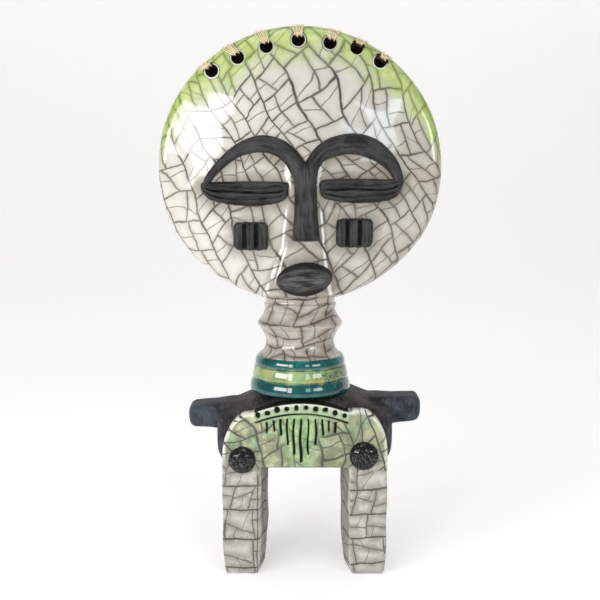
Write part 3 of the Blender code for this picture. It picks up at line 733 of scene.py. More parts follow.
# %% Brows and nose
notch = (2.7, 226.2)
left_top, left_low, right_top, right_low = (curve(stops, 110) for stops in (
    [(-53.4, 212.8), (-50.8, 219.7), (-41.9, 230), (-32.5, 237.1), (-21.1, 240.7), (-9.7, 238.4), (-2.7, 233.2), notch],
    [(-50.2, 212.6), (-48.6, 215.4), (-42, 222.6), (-32.6, 229.2), (-21.1, 231.5), (-12.8, 229.4), (-7.7, 224.8),
     (-4.5, 219.0)],
    [(54.6, 211.5), (56.4, 215.8), (54.1, 224.8), (48.3, 233), (40, 239.2), (28.5, 241.7), (16.1, 239.2), (7.9, 233.6),
     notch],
    [(52.2, 211.8), (50.6, 217.3), (46.3, 222.8), (38, 227.9), (26.6, 230.5), (15.1, 228.2), (10.6, 223.4),
     (9.2, 218.6)],
))
ridge_line, left_side, right_side = (curve(stops, 80) for stops in (
    [notch, (3.0, 214), (3.3, 200), (3.45, 183.4)],
    [(-4.5, 219.0), (-3.2, 214.5), (-3.0, 205), (-3.4, 195), (-4.4, 183.8)],
    [(9.2, 218.6), (9.0, 213), (9.4, 203), (9.9, 194), (11.2, 183.9)],
))
STRIP = 27
left = spread(np.concatenate([left_low, left_side[1:]]), np.concatenate([left_top, ridge_line[1:]]), STRIP)
right = spread(np.concatenate([right_top, ridge_line[1:]]), np.concatenate([right_low, right_side[1:]]), STRIP)
ends = (left[0], right[0], left[-1], right[-1])
plan = np.concatenate([left, right], 1)
clear = nearest_distance(
    plan, np.concatenate([left_low, left_top, left_side, right_side, right_low, right_top, *ends])
)
height = plan[..., 1]
down_nose = smooth(0, 1, (216 - height) / 32)
foot = 0.14 * bell(height - 185.8, 1.5) - 0.12 * bell(height - 189.6, 1.1)
lift = 3.1 * round_edge(clear, 4.4 - 1.6 * down_nose) * (1 + 0.28 * down_nose + foot * (down_nose > 0.3))
keep = np.ones((plan.shape[0] - 1, plan.shape[1] - 1), bool)
keep[:, STRIP - 1] = False
pressed("brows_and_nose", plan, lift, BLACK_CLAY, keep)


# %% Shapes of pats of clay
def fray(line, size, seed):
    """A torn clay edge: three waves of growing fineness shift the line up and down."""
    x = line[:, 0] + seed
    waves = size * (np.sin(1.3 * x) + 0.7 * np.sin(2.9 * x + 1) + 0.5 * np.sin(5.3 * x + 2)) / 2
    return line + np.stack([0 * x, waves], -1)


def squarish(left, right, low, high, power, tilt=0.0, count=90):
    """Both edges of a superellipse: the height is the root of 1 less x to the power. tilt raises the right end."""
    x = -np.cos(np.linspace(0, pi, count))
    z = (high - low) / 2 * (1 - np.abs(x) ** power) ** (1 / power)
    middle = (low + high) / 2 + tilt * x
    x = (left + right) / 2 + (right - left) / 2 * x
    return np.stack([x, middle - z], -1), np.stack([x, middle + z], -1)


def eye_ridges(u, v):
    """Ridges along the lid: three narrow grooves that wander a little."""
    wave = 1.06 + 0.0 * u * v
    for line, depth, phase in ((-0.45, 0.3, 0.0), (0.08, 0.45, 2.0), (0.52, 0.35, 4.0)):
        wave = wave - depth * bell(v - line - 0.06 * np.sin(4 * u + phase), 0.075) * (1 - smooth(0.8, 1, np.abs(u)))
    return wave


def cheek_ribs(u, v):
    """Three upright ribs parted by two grooves, with lumpy tops."""
    grooves = bell(np.abs(u + 0.04) - 0.33, 0.1)
    return 1 - 0.8 * grooves * (1 - smooth(0.75, 1, np.abs(v))) + 0.04 * np.cos(9 * v + 7 * u)


def lips(u, v):
    """A dome with a faint parting line along the middle."""
    return (0.3 + 0.7 * (1 - v * v)) * (1 - 0.10 * bell(v - 0.05 * np.sin(3 * u), 0.09))


print(f"a cheek mark's grooves are {1 - cheek_ribs(0.29, 0.0):.2f} of its height deep")


# %% Closed eyes, cheek marks and mouth
def pat(name, low, top, height, edge, wave, material=BLACK_CLAY, columns=46):
    """A pat of clay between two edges that run left to right. wave(u, v) multiplies its lift."""
    plan = spread(low, top, columns)
    clear = nearest_distance(plan, np.concatenate([low, top]))
    u = 2 * (plan[..., 0] - low[0, 0]) / (low[-1, 0] - low[0, 0]) - 1
    v = -np.cos(np.linspace(0, pi, columns))[None]
    pressed(name, plan, height * round_edge(clear, edge) * wave(u, v), material, None, wave(u, v))


for side, low, top, low_seed, top_seed in (
    ("left", [(-54.0, 213.6), (-53.4, 210.2), (-50.4, 207.0), (-47.0, 205.2), (-41, 203.9), (-33, 202.9),
              (-20.6, 202.9), (-11.5, 204.6), (-7.6, 207.2), (-6.4, 212.4)],
     [(-54.0, 213.6), (-53.0, 215.3), (-46, 215.7), (-30, 216.0), (-15, 215.9), (-8.2, 215.6), (-6.6, 214.8),
      (-6.4, 212.4)], 0, 3),
    ("right", [(10.9, 211.8), (11.6, 208.4), (15, 206.2), (27.4, 204.3), (40, 204.5), (48.5, 205.8), (52.6, 207.8),
               (55.2, 211.2), (56.0, 215.2)],
     [(10.9, 211.8), (11.2, 215.4), (13.4, 216.9), (21.9, 217.4), (34.3, 217.4), (46, 217.1), (54.4, 217.0),
      (56.0, 215.2)], 9, 5),
):
    low, top = fray(curve(low, 110), 0.25, low_seed), fray(curve(top, 110), 0.1, top_seed)
    pat(f"eye_{side}", low, top, 2.5, 2.2, eye_ridges)
for side, box in (("left", (-36.3, -17.4, 178.4, 193.9)), ("right", (19.7, 39.8, 180.0, 195.9))):
    low, top = squarish(*box, 6.5)
    pat(f"cheek_mark_{side}", fray(low, 0.4, box[0]), fray(top, 0.35, box[1]), 2.6, 1.7, cheek_ribs, RIB_CLAY)
pat("mouth", *squarish(-13.0, 18.0, 153.6, 172.3, 1.85, 0.8), 4.6, 4.0, lips, LIP_CLAY)

# %% [markdown]
# Painted shade darkens the glaze a little way around the black pieces. The head keeps the distance from each of its
# points to the nearest outline, and its glaze paints that shade. It also keeps how far out on the swell each point
# lies, because two painted white highlight lines run along the swell's shoulders.

# %% Painted shade and painted highlight beside the relief
spots = np.empty(3 * len(head.data.vertices), np.float32)
head.data.vertices.foreach_get("co", spots)
x, y, z = (1000 * spots.reshape(-1, 3)).T
behind = y > HEAD_Y - 5
beside = nearest_distance(np.stack([x, z], -1), np.concatenate(outlines)[::2])
across, drop = swell_across(x, z)
store(head.data, "beside", np.where(behind, 30, beside))
store(head.data, "shoulder", xyz(0.0, np.where(behind, 9, across), drop))
print("points near the relief:", int((beside[~behind] < 4).sum()))

# %% [markdown]
# ## Neck and collar
#
# Neck and collar were turned or rolled, so a profile that is carried round an axis gives them. The neck has a waist
# and one sharp flared ring, and its top is pared away behind, where it runs up into the head. The collar is three
# rounded rings: teal, a mottled yellow green, and teal again, all in thick glossy glaze.


# %% The neck
def turned(name, profile, sides=144):
    """Carries a profile round the neck's axis. A stop is radius, height and share of depth behind."""
    radius, height, share = (np.asarray(profile, float)[:, k : k + 1] for k in range(3))
    a = around(sides)
    y = NECK_Y - radius * (1 - share) - radius * share * np.cos(a)
    return skin(name, xyz(radius * np.sin(a), y, height), sharp=60)


def neck_glaze():
    """The pale crackle, a little darker, with its cracks measured round the neck."""
    material, shader, spot, x, y, z = start_finish("neck_crackle_glaze")
    round_neck = Flow.node("Math", {"operation": "ARCTAN2"}, _0=x, _1=NECK_Y - y) * 20.0
    crackled = crackle(round_neck, z, 13.0, 12.0, 0.25, 0.54, 7.0, ((0.03, 14.0), (0.1, 3.0), FINE_SWING))
    base = pale_glaze(crackled, spot, "b3aa9e", "a99e92", "a5a096", "c4bfb6")
    glossy(shader, base, crackled[0], spot)
    return material


t = np.linspace(-0.8, 0.8, 41)
flare = NECK_RADIUS + 5.2 * (1 - np.abs(t)) ** 1.6 - 0.5 * bell(t, 0.05)
crest = CHIN - 11.9
profile = np.concatenate([
    [(r, COLLAR_TOP + up, 1) for r, up in ((23.0, -3), (24.0, -0.2), (23.0, 0.9), (21.0, 2.4), (19.8, 5), (19.3, 7.7))],
    np.stack([flare, crest + t * 10.5, 1 - 0.1 * smooth(0.1, 0.9, t)], -1),
    [(r, CHIN + up, share) for r, up, share in (
        (20.2, -1.6, 0.9), (20.3, -0.4, 0.88), (19.4, 0.8, 0.86), (19.3, 4.7, 0.82), (17.8, 12.5, 0.68),
        (13.5, 23.4, 0.56),
    )],
])
dress(turned("neck", curve(profile, 150)), neck_glaze(), "raku_clay", "doll")


# %% Collar of three rings
def collar_glaze():
    """Teal, moss and teal again by height. Noise shifts the borders, as glazes run into each other."""
    material, shader, spot, x, _, z = start_finish("collar_glaze")
    cloud, speck = noise(spot, 0.12, 4.0, 0.6), noise(spot, 0.8, 2.0, 0.6)
    teal = blend(cloud.step(0.3, 0.7), colour("00625e"), colour("003c42"))
    teal = tint(teal, clouds(spot, 0.2, 0.55, 0.75) * 0.6, "1f8a7c")
    moss = blend(cloud.step(0.35, 0.65), colour("a0bb86"), colour("7b9763"))
    moss = tint(moss, clouds(spot, 0.16, 0.52, 0.66) * 0.7, "bfae5c")
    moss = tint(moss, (speck + (x - 8.0) * 0.012).step(0.55, 0.72) * 0.8, "34392a")
    run = z + sway(spot, 0.14, 3.5)
    low, high = SHOULDER + COLLAR_RINGS[0] * 0.95, SHOULDER + sum(COLLAR_RINGS[:2]) + 0.4
    base = blend(run.step(low - 0.8, low + 0.8) * run.step(high + 0.8, high - 0.8), teal, moss)
    finish(shader, Base_Color=base, Roughness=0.2, Specular_IOR_Level=0.1, Normal=relief(cloud * 0.5 + speck * 0.04))
    finish(shader, Coat_Weight=1.0, Coat_Roughness=0.04, Coat_IOR=1.7)
    return material


COLLAR_RADIUS, COLLAR_TAPER, RING_BULGE = 29.0, 4.2, 1.7
rows = [(20.0, SHOULDER - 6, 1), (21.5, SHOULDER - 2, 1), (24.5, SHOULDER + 0.1, 1)]
t = np.linspace(0.02, pi - 0.02, 31)
foot = SHOULDER
for height, flat in zip(COLLAR_RINGS, (0.6, 0.2, 0.6)):
    rise = foot + height * (1 - np.cos(t)) / 2
    cone = COLLAR_RADIUS - COLLAR_TAPER * (rise - SHOULDER) / (COLLAR_TOP - SHOULDER)
    rows.extend(zip(cone - RING_BULGE * (1 - np.sin(t) ** flat), rise, np.ones(31)))
    foot += height
rows += [(22.8, COLLAR_TOP + 0.05, 1), (19.0, COLLAR_TOP + 0.1, 1)]
dress(turned("collar_rings", rows, 180), collar_glaze(), "raku_clay", "doll")

# %% [markdown]
# ## Torso and arms
#
# Torso and arms are one smoked shape. Looked at from the side, each slice is a rounded oblong, and only its size
# changes from one arm's tip, through the torso, to the other tip. So the surface is a section carried along x: the
# larger of an arm's section and the torso's section, with a soft change between the two.


# %% Torso with two stub arms
def lean(x):
    """The torso stands a little askew: heights rise by 28 thousandths of the distance to the right."""
    return (x - BODY_OFFSET) * 0.028


def oblong(direction, half_depth, up, down, power):
    """The distance from a middle to the edge of a rounded oblong: a superellipse with its own reach each way."""
    c, s = np.cos(direction), np.sin(direction)
    reach = np.where(s > 0, up, down)
    return ((np.abs(c) / half_depth) ** power + (np.abs(s) / reach) ** power) ** (-1 / power)


TIP_START, ROOT_START, WALL_POWER = 62, 30, 9
wall = TORSO_HALF * (1 - np.linspace(0, 0.999, 26) ** WALL_POWER) ** (1 / WALL_POWER)
arm_tip = ARM_REACH * (1 - np.linspace(0.97, 0.0, 12) ** 3) ** (1 / 3)
arm_rows = np.linspace(TORSO_HALF, TIP_START, 24)
reach = np.unique(np.concatenate([np.linspace(0, 46, 60), wall, arm_rows, arm_tip[arm_tip > TIP_START], [ARM_REACH]]))
along = np.concatenate([-reach[::-1], reach[1:]])[:, None]
out = np.abs(along)
direction = around(150)[None]
torso_size = np.maximum(1 - np.clip(out / TORSO_HALF, 0, 1) ** WALL_POWER, 0) ** (1 / WALL_POWER)
root = np.clip((out - ROOT_START) / (ARM_REACH - ROOT_START), 0, 1)
tip = np.clip((out - TIP_START) / (ARM_REACH - TIP_START), 0, 1)
tip = np.maximum(1 - tip**2.2, 0) ** 0.5 * 0.75 + 0.25
middle = ARM_HEIGHT + lean(along + BODY_OFFSET) + 1.0 * root
arm_up = 9.0 - (2.6 - 0.9 * np.sign(along)) * root
arm = oblong(direction, (11.5 - 1.5 * root) * tip, arm_up * tip, (9.6 - 2.8 * root) * tip, 4.6)
slope = 13.0 - 9.5 * smooth(18, TORSO_HALF, out)
sizes = [side * torso_size + 0.01 for side in (25.75, slope - 1.0 * root, middle - (HIP - 1.6))]
size = (arm**8 + oblong(direction, *sizes, 4.5) ** 8) ** (1 / 8)
uneven = np.sin(along / 3.3 + 2 * direction) + np.sin(along / 1.9 - 3 * direction + 1)
size = size + 0.1 * (uneven + np.sin(along / 7.0 + 5 * direction)) * smooth(1.5, 6.0, size)
torso_y = NECK_Y + 1.25 * torso_size + size * np.cos(direction)
torso = skin("torso_and_arms", xyz(along + BODY_OFFSET, torso_y, middle + size * np.sin(direction)), sharp=50)


def body_smoke():
    """Brownish black on the torso and a bluish, lighter grey black on the arms, with brushed strokes."""
    material, shader, spot, x, *_ = start_finish("smoked_body")
    stretched = Flow.node("Mapping", {"vector_type": "POINT"}, Vector=spot, Scale=(1.0, 0.5, 0.18))
    strokes, grain, cloud = noise(stretched, 0.9, 4.0, 0.65), noise(spot, 2.2, 3.0, 0.6), noise(spot, 0.11)
    trunk = blend(cloud.step(0.35, 0.7), colour("0d0a09"), colour("3c3532"))
    limb = blend(cloud.step(0.3, 0.7), colour("13181e"), colour("3f4853"))
    edge = ((x - BODY_OFFSET).size() + (cloud - 0.5) * 4.0).step(43.5, 48.5)
    base = tint(blend(edge, trunk, limb), strokes.step(0.48, 0.72) * 0.42, "6a6a6e")
    height = strokes * 0.6 + grain * 0.15
    finish(shader, Base_Color=base, Roughness=0.5 + 0.2 * grain, Specular_IOR_Level=0.4, Normal=relief(height))
    return material


dress(torso, body_smoke(), "raku_clay", "doll")

# %% [markdown]
# ## Apron and legs
#
# In front, one pale slab runs down into both legs, like an arch. Its front is a height field: a grid of x and z,
# stretched so that its top row follows the rounded shoulders and the low arch between them, and with the cells
# between the legs left out. The height is the depth of the surface: an eased edge, a wide chamfer along the inside
# of each leg, and the punched dots and carved grooves.


# %% The slab's outline
INNER_LEFT, INNER_RIGHT = BODY_OFFSET - LEG_GAP / 2, BODY_OFFSET + LEG_GAP / 2
LEFT, RIGHT = INNER_LEFT - LEG_WIDTH, INNER_RIGHT + LEG_WIDTH
BAND_MIDDLE, BAND_HALF, BAND_HEIGHT, BAND_SAG = 0.7, 26.0, 5.6, 5.2


def band_line(x):
    """The middle of the dotted band: an arc, level in the middle and lower at its ends by the sag."""
    return HIP + APRON_HEIGHT + 5.0 - BAND_HEIGHT / 2 - BAND_SAG * ((x - BAND_MIDDLE) / BAND_HALF) ** 2


def top_edge(x):
    """The slab's top: shoulders with a quarter-ellipse corner, and the arch over the band."""
    share = 1 - np.clip(np.minimum(x - LEFT, RIGHT - x) / 15.0, 0, 1)
    shoulder = HIP + APRON_HEIGHT + lean(x) - 24.0 * (1 - np.sqrt(1 - share**2))
    arch = np.where(np.abs(x - BAND_MIDDLE) <= BAND_HALF + 0.6, band_line(x) + BAND_HEIGHT / 2, 0)
    return np.maximum(shoulder, arch)


edge_steps = 1.8 * (1 - np.cos(np.linspace(0, pi / 2, 9)))
chamfer_steps = np.linspace(0, 4.6, 10)
columns = np.unique(np.round(np.concatenate([
    LEFT + edge_steps, np.arange(LEFT + 2.4, INNER_LEFT - 4.8, 0.8), INNER_LEFT - chamfer_steps,
    np.linspace(INNER_LEFT, INNER_RIGHT, 145), INNER_RIGHT + chamfer_steps,
    np.arange(INNER_RIGHT + 5.4, RIGHT - 2.2, 0.8), RIGHT - edge_steps,
]), 4))
leg_rows = np.concatenate([1.6 * (1 - np.cos(np.linspace(0, pi / 2, 7)))[:-1], np.linspace(1.6, HIP, 56)])
shares = np.concatenate([np.linspace(0, 0.95, 100), 1 - 0.05 * (1 - np.sin(np.linspace(0, pi / 2, 10)))[1:]])[1:]
Z = np.concatenate([leg_rows[:, None] + 0 * columns, HIP + shares[:, None] * (top_edge(columns) - HIP)])
X = np.broadcast_to(columns, Z.shape)
print("slab grid:", X.shape)

# %% Eased edges and chamfered legs
NO_EDGE = 99
side_gap = np.minimum(X - LEFT, RIGHT - X)
slope = np.abs(np.gradient(top_edge(columns), columns))
top_gap = (top_edge(X) - Z) / np.sqrt(1 + np.minimum(slope, 3) ** 2)
between = (X > INNER_LEFT) & (X < INNER_RIGHT)
foot_gap = np.where(Z < 20, Z, NO_EDGE)
gap = np.minimum(np.minimum(side_gap, top_gap), np.maximum(np.where(between, Z - HIP, foot_gap), 0))
inner_gap = np.where(X < BODY_OFFSET, INNER_LEFT - X, X - INNER_RIGHT)
below = 1 - smooth(HIP - 1.2, HIP + 0.6, Z)
chamfer = 18.0 * np.clip(1 - inner_gap / 3.4, 0, 1) * below * (inner_gap >= -1e-6)
soft = np.where(Z > HIP + 6, 2.6, 1.8)
depth = soft * (1 - round_edge(gap, soft)) + chamfer
print(f"the chamfer is {chamfer.max():.0f} mm deep at its most")

# %% Band, dots and grooves
DOTS, GROOVES = 10, 11
to_side, to_end = BAND_HEIGHT / 2 - np.abs(Z - band_line(X)), BAND_HALF - np.abs(X - BAND_MIDDLE)
depth = depth - 0.5 * np.where(Z > HIP, round_edge(to_side, 0.9) * round_edge(to_end, 0.9), 0)
arc = band_line(X) - BAND_HEIGHT / 2 - 0.65
depth = depth + 1.1 * bell(Z - arc, 0.55) * (np.abs(X - BAND_MIDDLE) < BAND_HALF - 0.5)
for k in range(DOTS):
    dot_x = BAND_MIDDLE + 47.2 * (-0.5 + k / (DOTS - 1))
    dot_z = band_line(dot_x) + 0.25 * sin(3.7 * k + 1)
    wide, tall = 1 + 0.14 * sin(5.1 * k), 1 - 0.12 * sin(3.3 * k + 1)
    from_dot = (np.abs((X - dot_x) * wide) ** 2.6 + np.abs((Z - dot_z) * tall) ** 2.6) ** (1 / 2.6)
    depth = depth + 1.5 * (1 - smooth(1.0, 1.85, from_dot))
for k in range(GROOVES):
    share = -1 + k / 5
    x = BAND_MIDDLE + share * 18.95 + 0.35 * sin(7.3 * k)
    top = float(band_line(x)) - BAND_HEIGHT / 2 - 2.0
    low = HIP + 2.2 + (top - HIP - 2.2) * 0.72 * min(1, 1.45 * abs(share)) ** 1.15
    fades = 1 - smooth(0.82, 1.02, np.abs(Z - (top + low) / 2) / ((top - low) / 2))
    depth = depth + 1.3 * bell(X - x - 0.3 * np.sin(Z / 3.1 + k), 0.62 + 0.12 * sin(4.0 * k)) * fades
print("punched", DOTS, "dots and carved", GROOVES, "grooves")

# %% The finished slab
wavy = 0.10 * np.sin(X / 6 + Z / 9) + 0.08 * np.sin(Z / 5 - X / 11)
leg_middle = np.where(X < BODY_OFFSET, INNER_LEFT - LEG_WIDTH / 2, INNER_RIGHT + LEG_WIDTH / 2)
worn = (2.6 * (1 - round_edge(Z, 2.6)) + 0.9 * smooth(22, 0, Z)) * (X - leg_middle) / (LEG_WIDTH / 2)
in_legs = (Z <= HIP + 1e-6) & ((X <= INNER_LEFT + 1e-6) | (X >= INNER_RIGHT - 1e-6))
X = X - worn * (Z < HIP) + 0.22 * np.sin(Z / 5 + X / 9) * (Z < HIP - 2)
back_gap = np.minimum(np.minimum(side_gap, np.where(in_legs, inner_gap, NO_EDGE)), foot_gap)
leg_back = LEG_DEPTH - 2.4 * (1 - round_edge(np.maximum(back_gap, 0), 2.4))
cell_x, cell_z = (columns[:-1] + columns[1:]) / 2, (Z[:-1, :-1] + Z[1:, 1:]) / 2
arch = slab(
    "apron_and_legs",
    xyz(X, APRON_Y + depth + wavy * smooth(0, 3, gap), Z),
    xyz(X, APRON_Y + np.where(Z <= HIP + 0.4, leg_back, 9.5), Z),
    (cell_z > HIP) | (cell_x < INNER_LEFT) | (cell_x > INNER_RIGHT),
    sharp=50,
    mark=np.minimum(side_gap, top_gap),
)
print("apron and legs:", len(arch.data.vertices), "points")


# %% Apron and leg glaze
def olive_wash(spot, x, z, nearest, chance, fan):
    """Olive glaze with mint, cream and rusty clouds, fresher behind the fan and thinner at the corners, with painted
    shade towards the right.
    """
    out = (x - BODY_OFFSET).size()
    olive = blend(clouds(spot, 0.1, 0.35, 0.65, 4.0, 0.6), colour("929569"), colour("6b7845"))
    olive = tint(olive, clouds(spot, 0.13, 0.5, 0.62, 3.0, 0.6) * 0.7, "c9cba0")
    olive = tint(olive, clouds(spot, 0.16, 0.52, 0.66) * 0.75, "7fb98a")
    olive = tint(olive, clouds(spot, 0.2, 0.52, 0.7, 4.0, 0.7) * 0.6, "4b5630")
    olive = tint(olive, nearest.step(2.4, 0.0) * 0.45, "5d6443")
    olive = tint(olive, nearest.step(2.0, 4.5) * chance.step(0.2, 0.8) * 0.36, "cbcfae")
    olive = tint(olive, clouds(spot, 0.3, 0.62, 0.75, 2.0) * 0.5, "b0884e")
    fresh = blend(clouds(spot, 0.3, 0.4, 0.65, 3.0, 0.6), colour("729e5e"), colour("b4d795"))
    olive = blend(fan * 0.8, olive, fresh)
    corner = out.step(24.0, 38.0) * z.step(70.0, 84.0)
    olive = tint(olive, corner * clouds(spot, 0.14, 0.4, 0.6, 3.0, 0.6) * 0.42, "d0d4ae")
    # Painted shade: the wash darkens towards the right, away from the light from the left.
    return tint(olive, (x - BODY_OFFSET).step(-8.0, 20.0) * 0.32 * (1 - fan * 0.5), "6d7450")


def arch_glaze():
    """Pale crackle on the legs, an olive and mint wash on the apron and smoke in the carving; painted shade on the
    legs' inner sides and along the apron's lower edge; pale edges, partly painted highlight.
    """
    material, shader, spot, x, y, z = start_finish("arch_crackle_glaze")
    out, off = (x - BODY_OFFSET).size(), (x - BAND_MIDDLE).size()
    u = x - (y - APRON_Y) * (x - BODY_OFFSET).sign()
    legs = crackle(u, z, 15.0, 14.0, 0.25, 0.52, 5.0, ((0.03, 8.0), (0.1, 2.0), (0.3, 0.7)), 0.8)
    upper = crackle(x, z, 15.0, 13.0, 0.06, 0.6, 11.0, ((0.02, 26.0), (0.07, 6.0), FINE_SWING), 0.9)
    cracks = legs[0] * 1.2 + (upper[0] * 1.4 - legs[0] * 1.2) * z.step(58.0, 60.0)
    base = pale_glaze(legs, spot, "a5a39b", "9c988f", "9b9a92", "bcbbb6")
    base = tint(base, clouds(spot, 0.33, 0.42, 0.68, 4.0, 0.65) * 0.2, "7d7a70")
    base = tint(base, clouds(spot, 0.21, 0.5, 0.68, 3.0, 0.6) * 0.4, "dcdad3")
    # Painted shade: the inner sides of the legs are made darker, where less light reaches.
    inward = (y - APRON_Y).step(1.0, 6.0) * out.step(26.0, 25.0)
    base = tint(base, inward * 0.8, "99958a")
    corner_line = (x + 23.3 + sway(spot, 0.12, 2.5, 2.0)).size().step(0.55, 0.2) * z.step(59.0, 56.0)
    cracks = cracks.most(corner_line * 0.9).least(1.0)

    fan = (off + (96.0 - z) * 0.42).step(24.0, 14.0)
    olive = olive_wash(spot, x, z, upper[3], upper[1], fan)
    rim = (z - 88.0 + off * 0.16).step(0.5, 2.5) * off.step(27.0, 25.0)
    olive = tint(olive, rim * 0.85, "a9bd95")
    cracks = cracks * (1 - rim * 0.85) * (1 - fan * 0.45)
    _, _, from_edge = numbers(stored("stroke"))
    # Pale edges along the slab's outline: partly glaze thinned at the edge, partly a painted highlight.
    worn = (from_edge + sway(spot, 0.25, 2.5)).step(2.6, 0.8)
    olive = tint(olive, worn * 0.95, "efeee0")
    high = (z + sway(spot, 0.09, 10.0) - out.step(20.0, 30.0) * 6.0).step(54.0, 62.0)
    base = blend(high * 0.92, base, olive)
    # Painted shade: a dark line along the apron's lower edge between the legs.
    under = z.step(HIP + 1.3, HIP + 0.2) * out.step(21.5, 20.0)
    base = tint(base, under * 0.7, "3a3f2c")
    carved = (y - APRON_Y).step(0.3, 0.85) * z.step(HIP + 1.2, HIP + 2.2) * off.step(26.0, 25.4)
    glossy(shader, tint(base, carved, "151c14"), cracks, spot, "2c2a24", carved.most(inward))
    return material


dress(arch, arch_glaze(), "raku_clay", "doll")


# %% Knobs at the hips
def knob_glaze():
    """Rough black glaze that glints in specks, with painted glints: pale specks in its colour."""
    material, shader, spot, *_ = start_finish("black_knob_glaze")
    lumps, speck = noise(spot, 0.55, 4.0, 0.65), noise(spot, 1.3, 2.0)
    base = blend(lumps.step(0.4, 0.7), colour("08090b"), colour("1c1d20"))
    # Painted glints: pale grey specks in the colour, on the spots where the coat is glossy.
    base = tint(base, speck.step(0.64, 0.74) * 0.5, "6d7074")
    gloss = speck.step(0.5, 0.62)
    finish(shader, Base_Color=base, Roughness=0.35, Specular_IOR_Level=0.1, Coat_Weight=gloss * 0.9 + 0.1)
    finish(shader, Coat_Roughness=0.07, Coat_IOR=1.9, Normal=relief((lumps * 0.3 + speck * 0.12) * 2.2))
    return material


KNOB = knob_glaze()
KNOB_HEIGHT = 4.5
a, t = around(72)[None], np.linspace(0, pi / 2, 24)[:, None]
for side, x, z, radius in (("left", -31.6, 65.2, 7.5), ("right", 34.8, 67.4, 7.9)):
    ring = np.concatenate([[[radius]], (radius * np.cos(t) ** 0.7)[:-1], [[0.25]]])
    proud = np.concatenate([[[-3.0]], KNOB_HEIGHT * np.sin(t) ** 1.1])
    ring = ring * (1 + 0.012 * np.sin(3 * a + x) + 0.010 * np.sin(7 * a + 2))
    knob = skin(f"knob_{side}", xyz(x + ring * np.sin(a), APRON_Y - proud, z + ring * np.cos(a)))
    dress(knob, KNOB, "raku_clay", "doll")

# %% [markdown]
# ## Raffia
#
# Raffia is a leaf fibre: flat, dry, a little translucent, and never quite straight. Each hole holds a few strands
# that come up through it, lie over the short strip of clay, bend round the rim and come back through the hole from
# behind, where a knot on a flat wound coil closes the loop. Strands, coil and knot are all a flat section carried
# along a path: a loop, a spiral, and a trefoil. The coil lies across the hole, so no light comes through it.


# %% Raffia fibre, and a section carried along a path
def raffia():
    """Straw-coloured fibre, dark where it lies in the hole or faces it."""
    material, shader, spot, x, y, z = start_finish("raffia_fibre")
    stretched = Flow.node("Mapping", {"vector_type": "POINT"}, Vector=spot, Scale=(3.0, 1.0, 0.7))
    fibre = noise(stretched, 1.2)
    base = blend(fibre.step(0.3, 0.7), colour("f7ecc8"), colour("e6c993"))
    base = tint(base, clouds(spot, 0.4, 0.55, 0.7, 2.0) * 0.5, "f6ecd6")
    inset = HEAD_RADIUS - (x * x + (z - HEAD_CENTRE) * (z - HEAD_CENTRE)) ** 0.5
    _, facing, _ = numbers(Flow.node("NewGeometry", output="Normal"))
    shaded = inset.step(4.2, 5.2) * y.step(-7.2, -5.4) * (1 - y.step(4.6, 5.4) * facing.step(-0.1, 0.2))
    base = blend(shaded, base, blend(clouds(spot, 0.9, 0.35, 0.65), colour("1d140c"), colour("6b5442")))
    finish(shader, Base_Color=base, Roughness=0.65, Normal=relief(fibre * 0.12))
    return material


def carried(path, across, thick, wide, sides=8):
    """A flat section carried along a path: an ellipse in the plane of the path's normal and the across direction."""
    along = np.gradient(path, axis=0)
    along /= np.linalg.norm(along, axis=1)[:, None]
    out = np.cross(along, across)
    out /= np.linalg.norm(out, axis=1)[:, None]
    flat = np.cross(out, along)
    a = around(sides)[None, :, None]
    return path[:, None] + flat[:, None] * wide / 2 * np.cos(a) + out[:, None] * thick / 2 * np.sin(a)


def join(name, grids):
    """Several closed tubes as one mesh, each with its ends capped."""
    bm = bmesh.new()
    for grid in grids:
        part = skin(name + "_part", grid)
        bm.from_mesh(part.data)
        bpy.data.meshes.remove(part.data)
    mesh = bpy.data.meshes.new(name)
    bm.to_mesh(mesh)
    bm.free()
    mesh.shade_smooth()
    return put(name, mesh)


RAFFIA = raffia()
print("made", RAFFIA.name)


# %% Strands, coil and knot
def strand_path(a, edge, wall, s):
    """A loop in the plane of the hole's radius: out over the front, round the rim, back, and down behind the hole.

    Each stop is a distance from the head's middle and a depth. Strands lie side by side and a little above another.
    """
    inside, lift = wall - 0.75 - 0.45 * (s % 3), 0.45 + 0.14 * (s % 2)
    out = np.array([wall + (edge - wall) * k for k in (0.02, 0.3, 0.6, 0.85)])
    shell = []
    for dome, way in ((FRONT_DOME, -1), (BACK_DOME, 1)):
        depths = head_depth(out * sin(a), HEAD_CENTRE + out * cos(a), dome)
        slope = np.gradient(depths, out)
        steep = np.sqrt(1 + slope**2)
        shell.append(np.stack([out - slope / steep * lift, way * (depths + lift / steep)], -1))
    return np.concatenate([
        [(inside, 6.6), (inside, 4.0), (inside, -4.0), (inside + 0.1, shell[0][0, 1] + 0.9)],
        shell[0], [(edge + lift, -1.2), (edge + lift + 0.08, 0.0), (edge + lift, 1.2)],
        shell[1][::-1], [(wall - 1.6 - 0.3 * s, shell[1][0, 1] + 0.5)],
    ])


